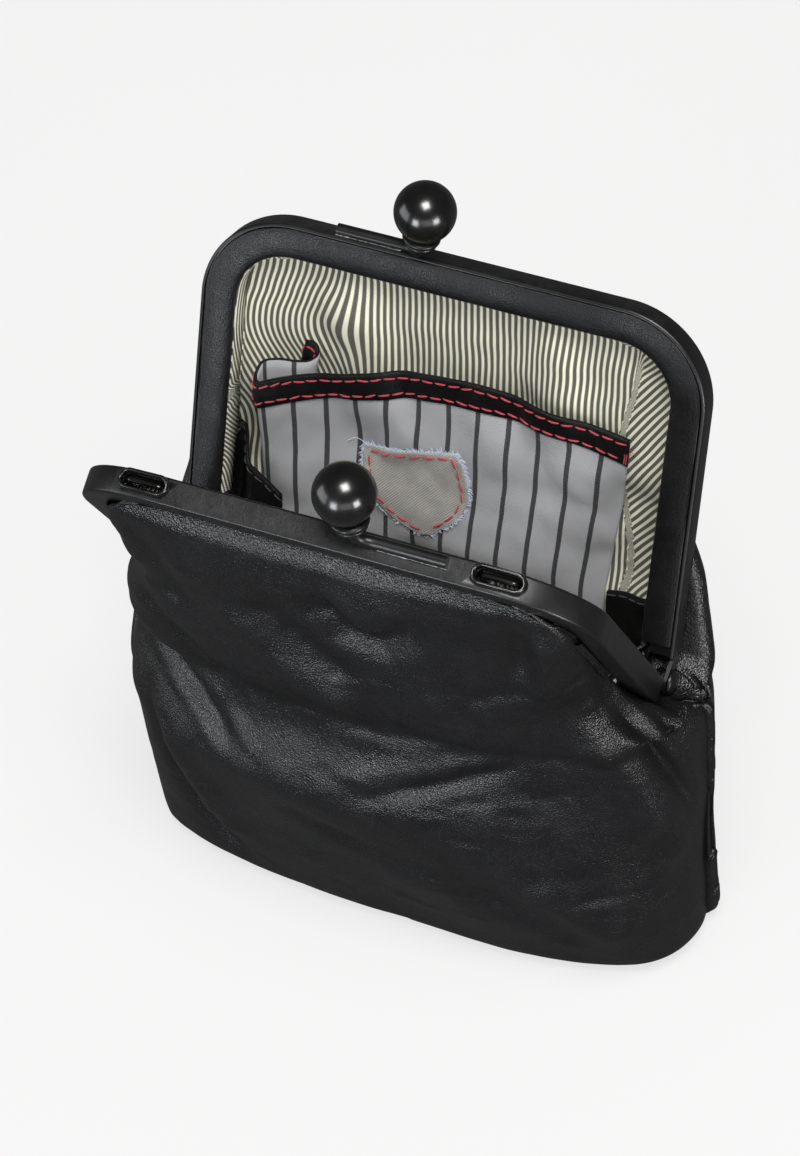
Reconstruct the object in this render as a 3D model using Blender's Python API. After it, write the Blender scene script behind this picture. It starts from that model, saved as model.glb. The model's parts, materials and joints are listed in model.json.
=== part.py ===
"""Phone pouch with a hinged clasp frame, standing open on its base.

Metres, +Z up. The origin is on the flat underside, below the hinge line. X runs along
the hinge, the front frame leans towards -Y and the rear frame towards +Y.
"""
import math

import bmesh
import bpy
from mathutils import Vector
from mathutils.bvhtree import BVHTree

MM = 0.001

# Frames
FRAME_WIDTH = 130 * MM
FRAME_HEIGHT = 93.4 * MM
FRAME_CORNER = 23 * MM
FRAME_DEPTH = 7 * MM
WEB = 1 * MM
FLANGE = 6.5 * MM
FLANGE_WALL = 0.9 * MM
EDGE_ROUND = 0.5 * MM
LIP_RECESS = 0.9 * MM
OPEN_EACH = math.radians(25.4)
HINGE_HEIGHT = 96 * MM
GAP = 0.3 * MM
LEG_END = 6 * MM
CORNER_STEPS = 7

# Hinges
EYE_RADIUS = 3.2 * MM
EYE_WALL = 0.9 * MM
EYE_ROOT = 2.5 * MM
WASHER_WALL = 0.6 * MM
WASHER_RADIUS = 2.8 * MM
RIVET_RADIUS = 1.2 * MM
RIVET_HEAD = 3 * MM
RIVET_DOME = 1.4 * MM
RIVET_TAIL = 2.2 * MM
RIVET_TAIL_WALL = 0.9 * MM

# Clasp
BALL_RADIUS = 7.5 * MM
BALL_HEIGHT = 13.8 * MM
BALL_PASSING_GAP = 0.4 * MM
BALL_OVERREACH = 4 * MM
FRONT_BALL_LEAN = math.radians(34)
REAR_BALL_LEAN = math.radians(16)
BALL_SWAY = math.radians(8)
COLLAR_RADIUS = 4.6 * MM
COLLAR_LENGTH = 2.7 * MM
COLLAR_GROOVE = 0.7 * MM
STEM_RADIUS = 1.5 * MM
STEM_RISE = 0.9 * MM
STEM_OUT = 2.6 * MM
STEM_SLOT_ROOM = 41 * MM
STEM_REACH = FRAME_WIDTH / 2 - STEM_SLOT_ROOM
STEM_BEND = 7 * MM
STEM_PULL = 3.6 * MM
STEM_FALL = 2.8 * MM

# Strap loops
SLOT_END_ROOM = 21 * MM
SLOT_PLACE = FRAME_WIDTH / 2 - SLOT_END_ROOM
SLOT_LENGTH = 11 * MM
SLOT_WIDTH = 3 * MM
SLOT_OUT = 3.05 * MM
EYELET_WALL = 0.9 * MM
EYELET_RISE = 1.1 * MM
LOOP_WIRE = 0.65 * MM
LOOP_WIDTH = 9.6 * MM
LOOP_DROP = 5.2 * MM
LOOP_FOOT = 2 * MM
LOOP_BEND = 1.05 * MM

# Leather, lining and pocket
LEATHER = 1.2 * MM
LINING = 0.4 * MM
LAYER_GAP = 0.5 * MM
WAIST_PUFF = 10 * MM
WAIST_HALF = FRAME_WIDTH / 2 + WAIST_PUFF
LEFT_FOOT_HALF = WAIST_HALF
RIGHT_FOOT_DRAW = 1.5 * MM
RIGHT_FOOT_HALF = WAIST_HALF - RIGHT_FOOT_DRAW
FRONT_WAIST_DEPTH = 36.5 * MM
REAR_WAIST_DEPTH = 29 * MM
FRONT_FOOT_DEPTH = 24.5 * MM
REAR_FOOT_DEPTH = 19 * MM
LEFT_SEAM_SHIFT = -12 * MM
RIGHT_SEAM_SHIFT = -1 * MM
SEAM_SHIFT_DROP = 26 * MM
FOOT_ROUND = 9 * MM
SEAM_DROP = 5 * MM
SEAM_TURN = 3.6 * MM
SEAM_CREASE = 3 * MM
ROLL = 3 * MM
ROLL_LEAST = 2.6 * MM
HEM_DEPTH_AT_BAR = 7.9 * MM
HEM_START = 5.5 * MM
LEVEL_RISE = 60 * MM
LEVEL_REACH = 12 * MM
HEM_OVER = 13 * MM
HEM_IN = 18 * MM
HEM_DEPTH = 2.3 * MM
LIP_WIDTH = 9.6 * MM
LIP_PUFF = 1.8 * MM
LIP_START = 9 * MM
CORD_RADIUS = 1.6 * MM
CORD_START = 14 * MM
POCKET_FRAME_ROOM = 16 * MM
POCKET_HALF = FRAME_WIDTH / 2 - POCKET_FRAME_ROOM
POCKET_DRAW = 7.5 * MM
POCKET_FOOT_HALF = POCKET_HALF - POCKET_DRAW
POCKET_SIDE = -4 * MM
POCKET_TOP = 61 * MM
POCKET_SAG = 10.5 * MM
POCKET_TILT = 4.5 * MM
POCKET_FOOT_SIDE = -0.5 * MM
POCKET_TAPER = 50 * MM
POCKET_GAP = 1.2 * MM
POCKET_BOTTOM = 42 * MM
POCKET_GAPE = 6 * MM
BAND_WIDTH = 6.5 * MM
BAND_WALL = 1.1 * MM
PATCH_WIDTH = 29 * MM
PATCH_HEIGHT = 32 * MM
PATCH_TOP = 42 * MM
PATCH_SIDE = -10 * MM
PATCH_TURN = math.radians(14)
PATCH_WALL = 0.7 * MM
FACING_LEFT_TOP = 22 * MM
FACING_RIGHT_TOP = 9 * MM
FACING_GAP = 0.8 * MM
FACING_BOTTOM = 26 * MM
FACING_FRAME_ROOM = 16.5 * MM
FACING_INNER = FRAME_WIDTH / 2 - FACING_FRAME_ROOM
FACING_WALL = 0.7 * MM

# Rows of the leather above the seams, as shares of the height to the bar's hem
UPPER_ROW_SHARES = (
    -0.02, 0.012, 0.045, 0.08, 0.115, 0.15, 0.168, 0.188, 0.21, 0.26, 0.34, 0.44, 0.56, 0.68,
    0.78, 0.86, 0.92, 0.965, 0.99, 1,
)
# Depth of the leather at the middle, as shares of the waist's, from the seams' top to the bar
UPPER_STATION_SHARES = (0, 0.22, 0.4, 0.6, 0.8, 0.92, 1)
UPPER_DEPTH_SHARES = (1, 0.87, 0.72, 0.5, 0.28, 0.12, 0)
# How far the leather hangs over the legs, as shares of the most, up the frame's height
OVER_STATION_SHARES = (-0.06, 0.05, 0.16, 0.27, 0.39, 0.51, 0.64, 1)
LOOSE_OVER_SHARES = (1, 0.84, 0.69, 0.54, 0.22, 0.02, 0, 0)
TIGHT_OVER_SHARES = (1, 0.72, 0.28, 0.08, 0, 0, 0, 0)
# Depth below the seams' top, as shares between the foot's depth and the waist's
LOWER_STATION_SHARES = (0, 0.25, 0.55, 0.85, 1)
LOWER_DEPTH_SHARES = (0, 0.4, 0.78, 0.97, 1)
FRONT_SKEW_SHARE, REAR_SKEW_SHARE = 0.3, -0.1
# Half-width of the patch down its height, as shares of its half-width
PATCH_STATION_SHARES = (0, 0.45, 0.75, 0.92, 1)
PATCH_WIDTH_SHARES = (1, 0.92, 0.68, 0.36, 0.08)
SEAM_ROW_SHARES = (0.1, 0.22, 0.36, 0.5, 0.64, 0.76, 0.88, 1)
FOOT_ROWS = 4
FLOOR_ROWS = 2
COLUMNS = 10
SPREAD_SHARE = 1.3
LINING_SKIP = 1
LINING_TOP_SKIP = 2
LINING_SHARE = 0.8
ROLL_STEPS = 3

HALF = FRAME_WIDTH / 2
FRONT, REAR = -1, 1
HEM_HALF = HALF - FLANGE - 2 * GAP
HEM_TOP = FRAME_HEIGHT - FLANGE - 2 * GAP
CHANNEL_LOW = 2 * LIP_RECESS + EDGE_ROUND / 2
CHANNEL_HIGH = FRAME_DEPTH - FLANGE_WALL
CHANNEL_MIDDLE = (CHANNEL_LOW + CHANNEL_HIGH) / 2
HEM_LEVEL = CHANNEL_HIGH - GAP
SEAM_TOP = HINGE_HEIGHT - SEAM_DROP
BALL_PLACE = BALL_RADIUS + BALL_PASSING_GAP / 2


def clear_scene():
    for thing in list(bpy.data.objects):
        bpy.data.objects.remove(thing, do_unlink=True)


def material(name, colour, roughness, metallic=0):
    made = bpy.data.materials.new(name)
    made.use_nodes = True
    shader = made.node_tree.nodes["Principled BSDF"]
    shader.inputs["Base Color"].default_value = (*colour, 1)
    shader.inputs["Roughness"].default_value = roughness
    shader.inputs["Metallic"].default_value = metallic
    return made


def add_mesh(name, bm, look):
    bmesh.ops.remove_doubles(bm, verts=bm.verts, dist=GAP / 100)
    bmesh.ops.recalc_face_normals(bm, faces=bm.faces)
    if bm.calc_volume(signed=True) < 0:
        bmesh.ops.reverse_faces(bm, faces=bm.faces)
    mesh = bpy.data.meshes.new(name)
    bm.to_mesh(mesh)
    bm.free()
    mesh.materials.append(look)
    mesh.shade_smooth()
    mesh.set_sharp_from_angle(angle=math.radians(35))
    thing = bpy.data.objects.new(name, mesh)
    bpy.context.scene.collection.objects.link(thing)
    return thing


def joined(name, solids, look):
    """One body from several overlapping ones."""
    first = solids[0]
    for other in solids[1:]:
        union = first.modifiers.new("join", "BOOLEAN")
        union.operation = "UNION"
        union.object = other
    bpy.context.view_layer.update()
    depsgraph = bpy.context.evaluated_depsgraph_get()
    bm = bmesh.new()
    bm.from_mesh(first.evaluated_get(depsgraph).to_mesh())
    for solid in solids:
        bpy.data.objects.remove(solid, do_unlink=True)
    return add_mesh(name, bm, look)


def loft(name, rings, look, closed=False):
    """Closed rings of points, bridged in order, with flat caps unless the sweep closes on itself."""
    bm = bmesh.new()
    rows = [[bm.verts.new(p) for p in ring] for ring in rings]
    count = len(rows[0])
    pairs = list(zip(rows, rows[1:]))
    if closed:
        pairs.append((rows[-1], rows[0]))
    else:
        bm.faces.new(rows[0])
        bm.faces.new(reversed(rows[-1]))
    for low, high in pairs:
        for k in range(count):
            n = (k + 1) % count
            bm.faces.new((low[k], high[k], high[n], low[n]))
    return add_mesh(name, bm, look)


def sheet(name, outer, inner, look):
    """A wall between two grids of points of the same size."""
    bm = bmesh.new()
    grids = [[[bm.verts.new(p) for p in row] for row in grid] for grid in (outer, inner)]
    rows, columns = len(outer), len(outer[0])
    for side, grid in enumerate(grids):
        for j in range(rows - 1):
            for k in range(columns - 1):
                quad = (grid[j][k], grid[j][k + 1], grid[j + 1][k + 1], grid[j + 1][k])
                bm.faces.new(quad if side else quad[::-1])
    a, b = grids
    for j in range(rows - 1):
        bm.faces.new((a[j][0], a[j + 1][0], b[j + 1][0], b[j][0]))
        bm.faces.new((a[j + 1][-1], a[j][-1], b[j][-1], b[j + 1][-1]))
    for k in range(columns - 1):
        bm.faces.new((a[0][k + 1], a[0][k], b[0][k], b[0][k + 1]))
        bm.faces.new((a[-1][k], a[-1][k + 1], b[-1][k + 1], b[-1][k]))
    return add_mesh(name, bm, look)


def smooth(value):
    value = min(max(value, 0), 1)
    return value * value * (3 - 2 * value)


def mix(low, high, share):
    return low + (high - low) * share


def along(stations, values, at):
    """Smooth curve through a table, flat-ended between its stations."""
    at = min(max(at, stations[0]), stations[-1])
    k = max(n for n in range(len(stations) - 1) if stations[n] <= at)
    slopes = []
    for n in (k, k + 1):
        low, high = max(n - 1, 0), min(n + 1, len(stations) - 1)
        slopes.append((values[high] - values[low]) / (stations[high] - stations[low]))
    span = stations[k + 1] - stations[k]
    t = (at - stations[k]) / span
    start, end = values[k], values[k + 1]
    return (
        start * (1 + 2 * t) * (1 - t) ** 2
        + slopes[0] * span * t * (1 - t) ** 2
        + end * t * t * (3 - 2 * t)
        + slopes[1] * span * t * t * (t - 1)
    )


def frame_point(side, x, up, out, lean=OPEN_EACH):
    """A point of a frame half: along X, up its plane from the hinge, and out from the meeting plane."""
    y = side * (up * math.sin(lean) + out * math.cos(lean))
    return Vector((x, y, HINGE_HEIGHT + up * math.cos(lean) - out * math.sin(lean)))


def outline(inset, start):
    """The U of a frame, moved in by an inset, from the left leg's end round to the right one's."""
    radius = FRAME_CORNER - inset
    wide, high = HALF - FRAME_CORNER, FRAME_HEIGHT - FRAME_CORNER
    right = [(HALF - inset, start)]
    for k in range(CORNER_STEPS + 1):
        turn = math.pi / 2 * k / CORNER_STEPS
        right.append((wide + radius * math.cos(turn), high + radius * math.sin(turn)))
    return [(-x, up) for x, up in right] + right[::-1]


def sweep_frame(name, side, section, start, look):
    """A section of (inset, out) points swept round the U."""
    paths = [outline(inset, start) for inset, out in section]
    rings = []
    for k in range(len(paths[0])):
        rings.append([frame_point(side, *path[k], out) for path, (inset, out) in zip(paths, section)])
    return loft(name, rings, look)


def frame_section():
    low, high, edge = GAP, FRAME_DEPTH, EDGE_ROUND
    flange_face = low + LIP_RECESS
    return [
        (edge, low), (0, low + edge), (0, high - edge), (edge, high), (FLANGE, high),
        (FLANGE, CHANNEL_HIGH), (WEB, CHANNEL_HIGH), (WEB, CHANNEL_LOW), (FLANGE, CHANNEL_LOW),
        (FLANGE, flange_face), (WEB - GAP / 2, flange_face), (WEB - GAP / 2, low),
    ]


def prism(name, points, x_low, x_high, side, look):
    """A flat outline of (up, out) points, thick along X."""
    rings = [[frame_point(side, x, up, out) for up, out in points] for x in (x_low, x_high)]
    return loft(name, rings, look)


def eye_outline(root_up, root_low, root_high):
    """An eye round the hinge line that widens into the leg."""
    points = [(root_up, root_high), (root_up, root_low)]
    first, last, steps = math.radians(150), math.radians(330), 12
    for k in range(steps + 1):
        turn = mix(first, last, k / steps)
        points.append((EYE_RADIUS * math.sin(turn), EYE_RADIUS * math.cos(turn)))
    return points


def layer(order):
    """How far from the middle each piece of the hinge stack starts and ends along X."""
    tab_out = HALF - GAP / 6
    tab_in = tab_out - EYE_WALL
    washer_out = tab_in - GAP
    washer_in = washer_out - WASHER_WALL
    front_out = washer_in - GAP
    front_in = front_out - EYE_WALL
    tail_out = front_in - GAP
    spans = {
        "head": (tab_out + GAP, tab_out + GAP + RIVET_DOME),
        "rear": (tab_in, tab_out),
        "washer": (washer_in, washer_out),
        "front": (front_in, front_out),
        "tail": (tail_out - RIVET_TAIL_WALL, tail_out),
    }
    return spans[order]


def turned(name, profile, origin, axis, look, steps=20):
    """A profile of (along, radius) points turned about an axis."""
    axis = axis.normalized()
    across = axis.orthogonal().normalized()
    other = axis.cross(across)
    rings = []
    for distance, radius in profile:
        ring = []
        for k in range(steps):
            turn = 2 * math.pi * k / steps
            spoke = across * math.cos(turn) + other * math.sin(turn)
            ring.append(origin + axis * distance + spoke * radius)
        rings.append(ring)
    return loft(name, rings, look)


def drill(thing, name, sign, low, high):
    """Cuts a rivet hole through an eye."""
    start = Vector((sign * (low - GAP), 0, HINGE_HEIGHT))
    length = high - low + 2 * GAP
    radius = RIVET_RADIUS + GAP
    look = thing.data.materials[0]
    cutter = turned(name, [(0, radius), (length, radius)], start, Vector((sign, 0, 0)), look)
    cut_with(thing, cutter)


def bar_top(x):
    """How high the outside of a frame is at a place across it."""
    past = max(abs(x) - (HALF - FRAME_CORNER), 0)
    return FRAME_HEIGHT - FRAME_CORNER + math.sqrt(FRAME_CORNER**2 - past**2)


def slot_ring(place, rise, length, width, steps=8):
    """A stadium laid on the bar, as points raised above it."""
    points = []
    straight = (length - width) / 2
    for end in (1, -1):
        for k in range(steps + 1):
            turn = math.pi * k / steps - math.pi / 2
            x = place + end * (straight + width / 2 * math.cos(turn))
            out = SLOT_OUT + end * width / 2 * math.sin(turn)
            points.append(frame_point(FRONT, x, bar_top(x) + rise, out))
    return points


def frame_half(side, look):
    label, order = ("front", "front") if side == FRONT else ("rear", "rear")
    solids = [sweep_frame(label + "_channel", side, frame_section(), LEG_END, look)]
    low, high = layer(order)
    for sign in (-1, 1):
        if side == REAR:
            points = eye_outline(LEG_END + EYE_ROOT, GAP + EDGE_ROUND, FRAME_DEPTH - EDGE_ROUND)
            points.insert(2, (LEG_END - 2 * GAP, GAP + EDGE_ROUND))
            solids.append(prism("eye", points, sign * low, sign * high, side, look))
        else:
            inner_low, inner_high = CHANNEL_LOW + GAP, CHANNEL_HIGH - GAP
            root = LEG_END + 2 * EYE_ROOT
            points = eye_outline(LEG_END - GAP, inner_low, inner_high)
            points[:2] = [(root, inner_high), (root, inner_low), (LEG_END - GAP, inner_low)]
            points.append((LEG_END - GAP, inner_high))
            solids.append(prism("eye", points, sign * low, sign * high, side, look))
            tops, outs = (LEG_END + EYE_ROOT, root - GAP / 2), (inner_low + GAP / 2, inner_high - GAP / 2)
            block = [(tops[0], outs[0]), (tops[1], outs[0]), (tops[1], outs[1]), (tops[0], outs[1])]
            reach = HALF - WEB / 2
            solids.append(prism("joggle", block, sign * mix(low, high, 0.5), sign * reach, side, look))
    frame = joined(label + "_frame", solids, look)
    for sign in (-1, 1):
        drill(frame, "%s_rivet_hole_%d" % (label, sign), sign, low, high)
    route = stem_route(side)
    route[0] += (route[0] - route[1]).normalized() * GAP
    groove = tube(label + "_stem_groove", route, STEM_RADIUS + GAP, look)
    cut_with(frame, groove)
    if side == FRONT:
        for sign in (-1, 1):
            cut_slot(frame, sign)
    return frame


def cut_with(thing, cutter):
    cutter.hide_render = True
    cutter.display_type = "WIRE"
    cut = thing.modifiers.new(cutter.name, "BOOLEAN")
    cut.operation = "DIFFERENCE"
    cut.object = cutter


def cut_slot(frame, sign):
    heights = (-2 * WEB, WEB)
    rings = [slot_ring(sign * SLOT_PLACE, rise, SLOT_LENGTH, SLOT_WIDTH) for rise in heights]
    cut_with(frame, loft("slot_%d" % sign, rings, frame.data.materials[0]))


def eyelet(sign, look):
    """A raised oval rim round the slot, with a rounded top."""
    rings = []
    steps = 6
    for part in range(steps + 1):
        turn = math.pi * part / steps
        spread = EYELET_WALL * (1 - math.cos(turn))
        rise = GAP + EYELET_RISE * math.sin(turn) ** 0.7 if 0 < part < steps else GAP
        length, width = SLOT_LENGTH + spread, SLOT_WIDTH + spread
        rings.append(slot_ring(sign * SLOT_PLACE, rise, length, width))
    name = "strap_eyelet_left" if sign < 0 else "strap_eyelet_right"
    return loft(name, rings, look, closed=True)


def tube(name, route, radius, look, sides=10):
    """A round wire along a route of points, without twist."""
    ways = [(b - a).normalized() for a, b in zip(route, route[1:])]
    ways = [ways[0]] + [(a + b).normalized() for a, b in zip(ways, ways[1:])] + [ways[-1]]
    across = ways[0].orthogonal().normalized()
    rings = []
    for place, way in zip(route, ways):
        across = (across - way * across.dot(way)).normalized()
        other = way.cross(across)
        ring = []
        for k in range(sides):
            turn = 2 * math.pi * k / sides
            ring.append(place + (across * math.cos(turn) + other * math.sin(turn)) * radius)
        rings.append(ring)
    return loft(name, rings, look)


def rounded(points, radius, steps=4):
    """A route of flat corners, each rounded by an arc-like blend."""
    route = [points[0]]
    for before, corner, after in zip(points, points[1:], points[2:]):
        start = corner + (before - corner).normalized() * radius
        end = corner + (after - corner).normalized() * radius
        for k in range(steps + 1):
            t = k / steps
            route.append(start * (1 - t) ** 2 + corner * 2 * t * (1 - t) + end * t * t)
    return route + [points[-1]]


def strap_loop(sign, look):
    """A wire bow with turned-out feet, down in its slot, as a round bar and feet under the web."""
    top = FRAME_HEIGHT - LOOP_WIRE
    foot = top - LOOP_DROP
    half = LOOP_WIDTH / 2 - LOOP_WIRE
    places = [(-half - LOOP_FOOT, foot), (-half, foot), (-half, top), (half, top), (half, foot)]
    places.append((half + LOOP_FOOT, foot))
    centre = sign * SLOT_PLACE
    points = [frame_point(FRONT, centre + x, up, SLOT_OUT) for x, up in places]
    name = "strap_loop_left" if sign < 0 else "strap_loop_right"
    bends = rounded(points, LOOP_BEND)
    return tube(name, bends, LOOP_WIRE, look)


def clasp(side, metal, gloss):
    label = "front" if side == FRONT else "rear"
    ball, down = ball_place(side)
    steps = 12
    arc = [math.pi * k / steps for k in range(1, steps)]
    tip = math.radians(2)
    turns = [tip] + arc + [math.pi - tip]
    profile = [(-BALL_RADIUS * math.cos(t), BALL_RADIUS * math.sin(t)) for t in turns]
    turned(label + "_ball", profile, ball, down, gloss)

    cup = BALL_RADIUS + GAP
    rim = COLLAR_RADIUS - COLLAR_GROOVE / 2
    shares = (0.02, 0.5, 0.8, 1)
    hollow = [(math.sqrt(cup**2 - (rim * s) ** 2), rim * s) for s in shares]
    start, end = hollow[-1][0], cup + COLLAR_LENGTH
    waist, ring = COLLAR_RADIUS - COLLAR_GROOVE * 1.25, COLLAR_RADIUS - COLLAR_GROOVE * 0.8
    outside = [
        (mix(start, end, 0.12), COLLAR_RADIUS), (mix(start, end, 0.36), COLLAR_RADIUS),
        (mix(start, end, 0.48), waist), (mix(start, end, 0.56), waist),
        (mix(start, end, 0.66), ring), (mix(start, end, 0.86), ring),
        (end, STEM_RADIUS + COLLAR_GROOVE / 2), (end, STEM_RADIUS / 4),
    ]
    turned(label + "_collar", hollow + outside, ball, down, metal)

    tube(label + "_stem", stem_route(side), STEM_RADIUS, metal)


def stem_route(side):
    """The stem's line, from its flat end along the bar up to the collar."""
    sign = 1 if side == FRONT else -1
    ball, down = ball_place(side)
    reach = BALL_RADIUS + GAP + COLLAR_LENGTH + GAP
    level = FRAME_HEIGHT + STEM_RISE
    foot = ball + down * reach
    end = frame_point(side, sign * (BALL_PLACE + STEM_REACH), level, STEM_OUT)
    start = frame_point(side, sign * (BALL_PLACE + STEM_BEND), level, STEM_OUT)
    anchors = (start, start - Vector((sign * STEM_PULL, 0, 0)), foot + down * STEM_FALL, foot)
    route = [end, start]
    turns = 8
    for k in range(1, turns + 1):
        t = k / turns
        pull = ((1 - t) ** 3, 3 * t * (1 - t) ** 2, 3 * t * t * (1 - t), t**3)
        route.append(sum((a * w for a, w in zip(anchors, pull)), Vector()))
    return route


def ball_place(side):
    """A ball's centre and the way from there down its collar."""
    sign = 1 if side == FRONT else -1
    lean = FRONT_BALL_LEAN if side == FRONT else REAR_BALL_LEAN
    ball = frame_point(side, sign * BALL_PLACE, FRAME_HEIGHT + BALL_HEIGHT, -BALL_OVERREACH)
    flat = frame_point(side, 0, -math.cos(lean), math.sin(lean)) - frame_point(side, 0, 0, 0)
    down = flat.normalized() * math.cos(BALL_SWAY) + Vector((sign * math.sin(BALL_SWAY), 0, 0))
    return ball, down


def hinge_pin(sign, metal):
    name = "left" if sign < 0 else "right"
    axis = Vector((sign, 0, 0))
    line = Vector((0, 0, HINGE_HEIGHT))
    head_low, head_high = layer("head")
    tail_low, tail_high = layer("tail")
    steps = 4
    dome = []
    for k in range(steps + 1):
        turn = math.pi / 2 * k / steps
        rise = mix(RIVET_DOME / 4, RIVET_DOME, math.sin(turn))
        dome.append((head_low + rise, max(RIVET_HEAD * math.cos(turn), RIVET_HEAD / 20)))
    profile = [
        (tail_low, RIVET_TAIL / 20), (tail_low, RIVET_TAIL), (tail_high, RIVET_TAIL),
        (tail_high, RIVET_RADIUS), (head_low, RIVET_RADIUS), (head_low, RIVET_HEAD),
    ]
    turned("hinge_rivet_" + name, profile + dome, line, axis, metal)
    low, high = layer("washer")
    bore = RIVET_RADIUS + GAP
    rings = []
    for x, radius in ((low, bore), (low, WASHER_RADIUS), (high, WASHER_RADIUS), (high, bore)):
        ring = []
        for k in range(20):
            turn = 2 * math.pi * k / 20
            ring.append(line + axis * x + Vector((0, math.cos(turn), math.sin(turn))) * radius)
        rings.append(ring)
    loft("hinge_washer_" + name, rings, metal, closed=True)


def lip(side, look):
    """Leather over the inner flange, puffed below it."""
    label = "front" if side == FRONT else "rear"
    flat = GAP + LIP_RECESS - GAP
    start = WEB + GAP
    puff_start = FLANGE + GAP
    end = start + LIP_WIDTH
    middle = (puff_start + end) / 2
    section = [
        (start, GAP), (middle, GAP), (mix(middle, end, 0.7), GAP * 1.5), (end, GAP + LIP_PUFF / 2),
        (mix(middle, end, 0.6), GAP + LIP_PUFF), (middle, GAP + LIP_PUFF), (puff_start, GAP + LIP_PUFF),
        (puff_start, flat), (start, flat),
    ]
    return sweep_frame(label + "_lip", side, section[::-1], LIP_START, look)


def channel_cord(name, side, first, last, look):
    """Paper cord in the channel, between two shares of the U's length."""
    inset = WEB + GAP + CORD_RADIUS
    path = [frame_point(side, x, up, CHANNEL_MIDDLE) for x, up in outline(inset, CORD_START)]
    lengths = [0]
    for a, b in zip(path, path[1:]):
        lengths.append(lengths[-1] + (b - a).length)
    route = []
    low, high = first * lengths[-1], last * lengths[-1]
    for a, b, start, end in zip(path, path[1:], lengths, lengths[1:]):
        if start <= low < end:
            route.append(a.lerp(b, (low - start) / (end - start)))
        if low < end < high:
            route.append(b)
        if start < high <= end:
            route.append(a.lerp(b, (high - start) / (end - start)))
    return tube(name, route, CORD_RADIUS, look)


def hem_half(up):
    """Half the width inside the frame's flanges at a height, and the way out from there."""
    top, radius = FRAME_HEIGHT - FRAME_CORNER, FRAME_CORNER - (HALF - HEM_HALF)
    if up <= top:
        return HEM_HALF, (1, 0)
    rise = min((up - top) / radius, 1)
    reach = math.sqrt(1 - rise * rise)
    return HALF - FRAME_CORNER + radius * reach, (reach, rise)


def level_lean(up):
    """How much a row tilts away from the frame."""
    return OPEN_EACH * smooth((up + SEAM_DROP) / LEVEL_RISE)


def upper_place(side, x, up, out, centre):
    """A point of the leather above the seams, which leaves the frame square to it and then levels off."""
    near = OPEN_EACH * smooth((up + SEAM_DROP) / (SEAM_DROP + HEM_START))
    lean = mix(near, level_lean(up), smooth((out - centre) / LEVEL_REACH))
    y, z = (up * math.sin(OPEN_EACH), up * math.cos(OPEN_EACH)) if up > 0 else (0, up)
    y += out * math.cos(lean)
    z -= out * math.sin(lean)
    return Vector((x, side * y, HINGE_HEIGHT + z))


def spaced(points, count):
    """Points at even steps along a line of points."""
    lengths = [0]
    for a, b in zip(points, points[1:]):
        lengths.append(lengths[-1] + math.hypot(b[0] - a[0], b[1] - a[1]))
    found, k = [], 0
    for n in range(count + 1):
        target = lengths[-1] * (n / count) ** SPREAD_SHARE
        while k < len(points) - 2 and lengths[k + 1] < target:
            k += 1
        share = (target - lengths[k]) / max(lengths[k + 1] - lengths[k], GAP / 1000)
        (x, out), (next_x, next_out) = points[k], points[k + 1]
        found.append((mix(x, next_x, share), mix(out, next_out, share)))
    return found


def bow(widest, centre, rise, power):
    """Half a row as (x, out) points, from its widest to the middle."""
    steps = 60
    points = []
    for k in range(steps + 1):
        turn = math.pi / 2 * k / steps
        x = widest * max(math.cos(turn), 0) ** (2 / power) if k < steps else 0
        points.append((x, centre + rise * math.sin(turn) ** (2 / power)))
    return spaced(points, COLUMNS)


def rolled(start, widest, low):
    """The leather's turn out over a leg, from its edge to its widest, as (x, out) points."""
    radius = min(ROLL, widest - start)
    points = [(start, low)]
    for k in range(ROLL_STEPS):
        turn = math.pi / 2 * k / ROLL_STEPS
        points.append((widest - radius + radius * math.sin(turn), low + radius * (1 - math.cos(turn))))
    return points, low + radius


def upper_row(side, up):
    """One row of the leather above the seams: its turned edge, its bow and its other edge."""
    hem, way = hem_half(up)
    share = (up + SEAM_DROP) / (HEM_TOP + SEAM_DROP)
    raised = smooth((up + SEAM_DROP) / (SEAM_DROP + HEM_START))
    drawn = smooth((up - HEM_START) / (HEM_OVER - HEM_START))
    tucked = smooth((up - HEM_OVER) / (HEM_IN - HEM_OVER))
    waist = FRONT_WAIST_DEPTH if side == FRONT else REAR_WAIST_DEPTH
    depth = mix(HEM_DEPTH_AT_BAR, waist, along(UPPER_STATION_SHARES, UPPER_DEPTH_SHARES, share))
    power = mix(2.2, 3.2, smooth(2 * share - 1))
    over = [along(OVER_STATION_SHARES, LOOSE_OVER_SHARES, up / FRAME_HEIGHT)] * 2
    if side == FRONT:
        over[1] = along(OVER_STATION_SHARES, TIGHT_OVER_SHARES, up / FRAME_HEIGHT)
    halves = []
    for sign, spread in zip((-1, 1), over):
        widest = mix(hem, WAIST_HALF, spread)
        if widest - hem < ROLL_LEAST:
            widest = hem
        start = mix(widest, hem, drawn)
        if widest - start < ROLL_LEAST:
            start = widest
        under, level = rolled(start, widest, mix(GAP / 2, FRAME_DEPTH + GAP, raised))
        points = under + bow(widest, level, max(depth - level, GAP), power)
        bows = [upper_place(side, sign * x, up, out, level) for x, out in points]
        turn = math.pi * (1 - tucked)
        edge = (sign * points[0][0], mix(points[0][1], HEM_LEVEL, tucked))
        flaps = []
        for length in (mix(SEAM_TURN, HEM_DEPTH, tucked), SEAM_CREASE * (1 - tucked)):
            x = edge[0] + sign * length * math.cos(turn) * way[0]
            high = up + length * way[1] * math.cos(turn)
            flaps.append(upper_place(side, x, high, edge[1] - length * math.sin(turn), level))
        halves.append(flaps + bows)
    left, right = halves
    return left + right[-2::-1]


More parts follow.
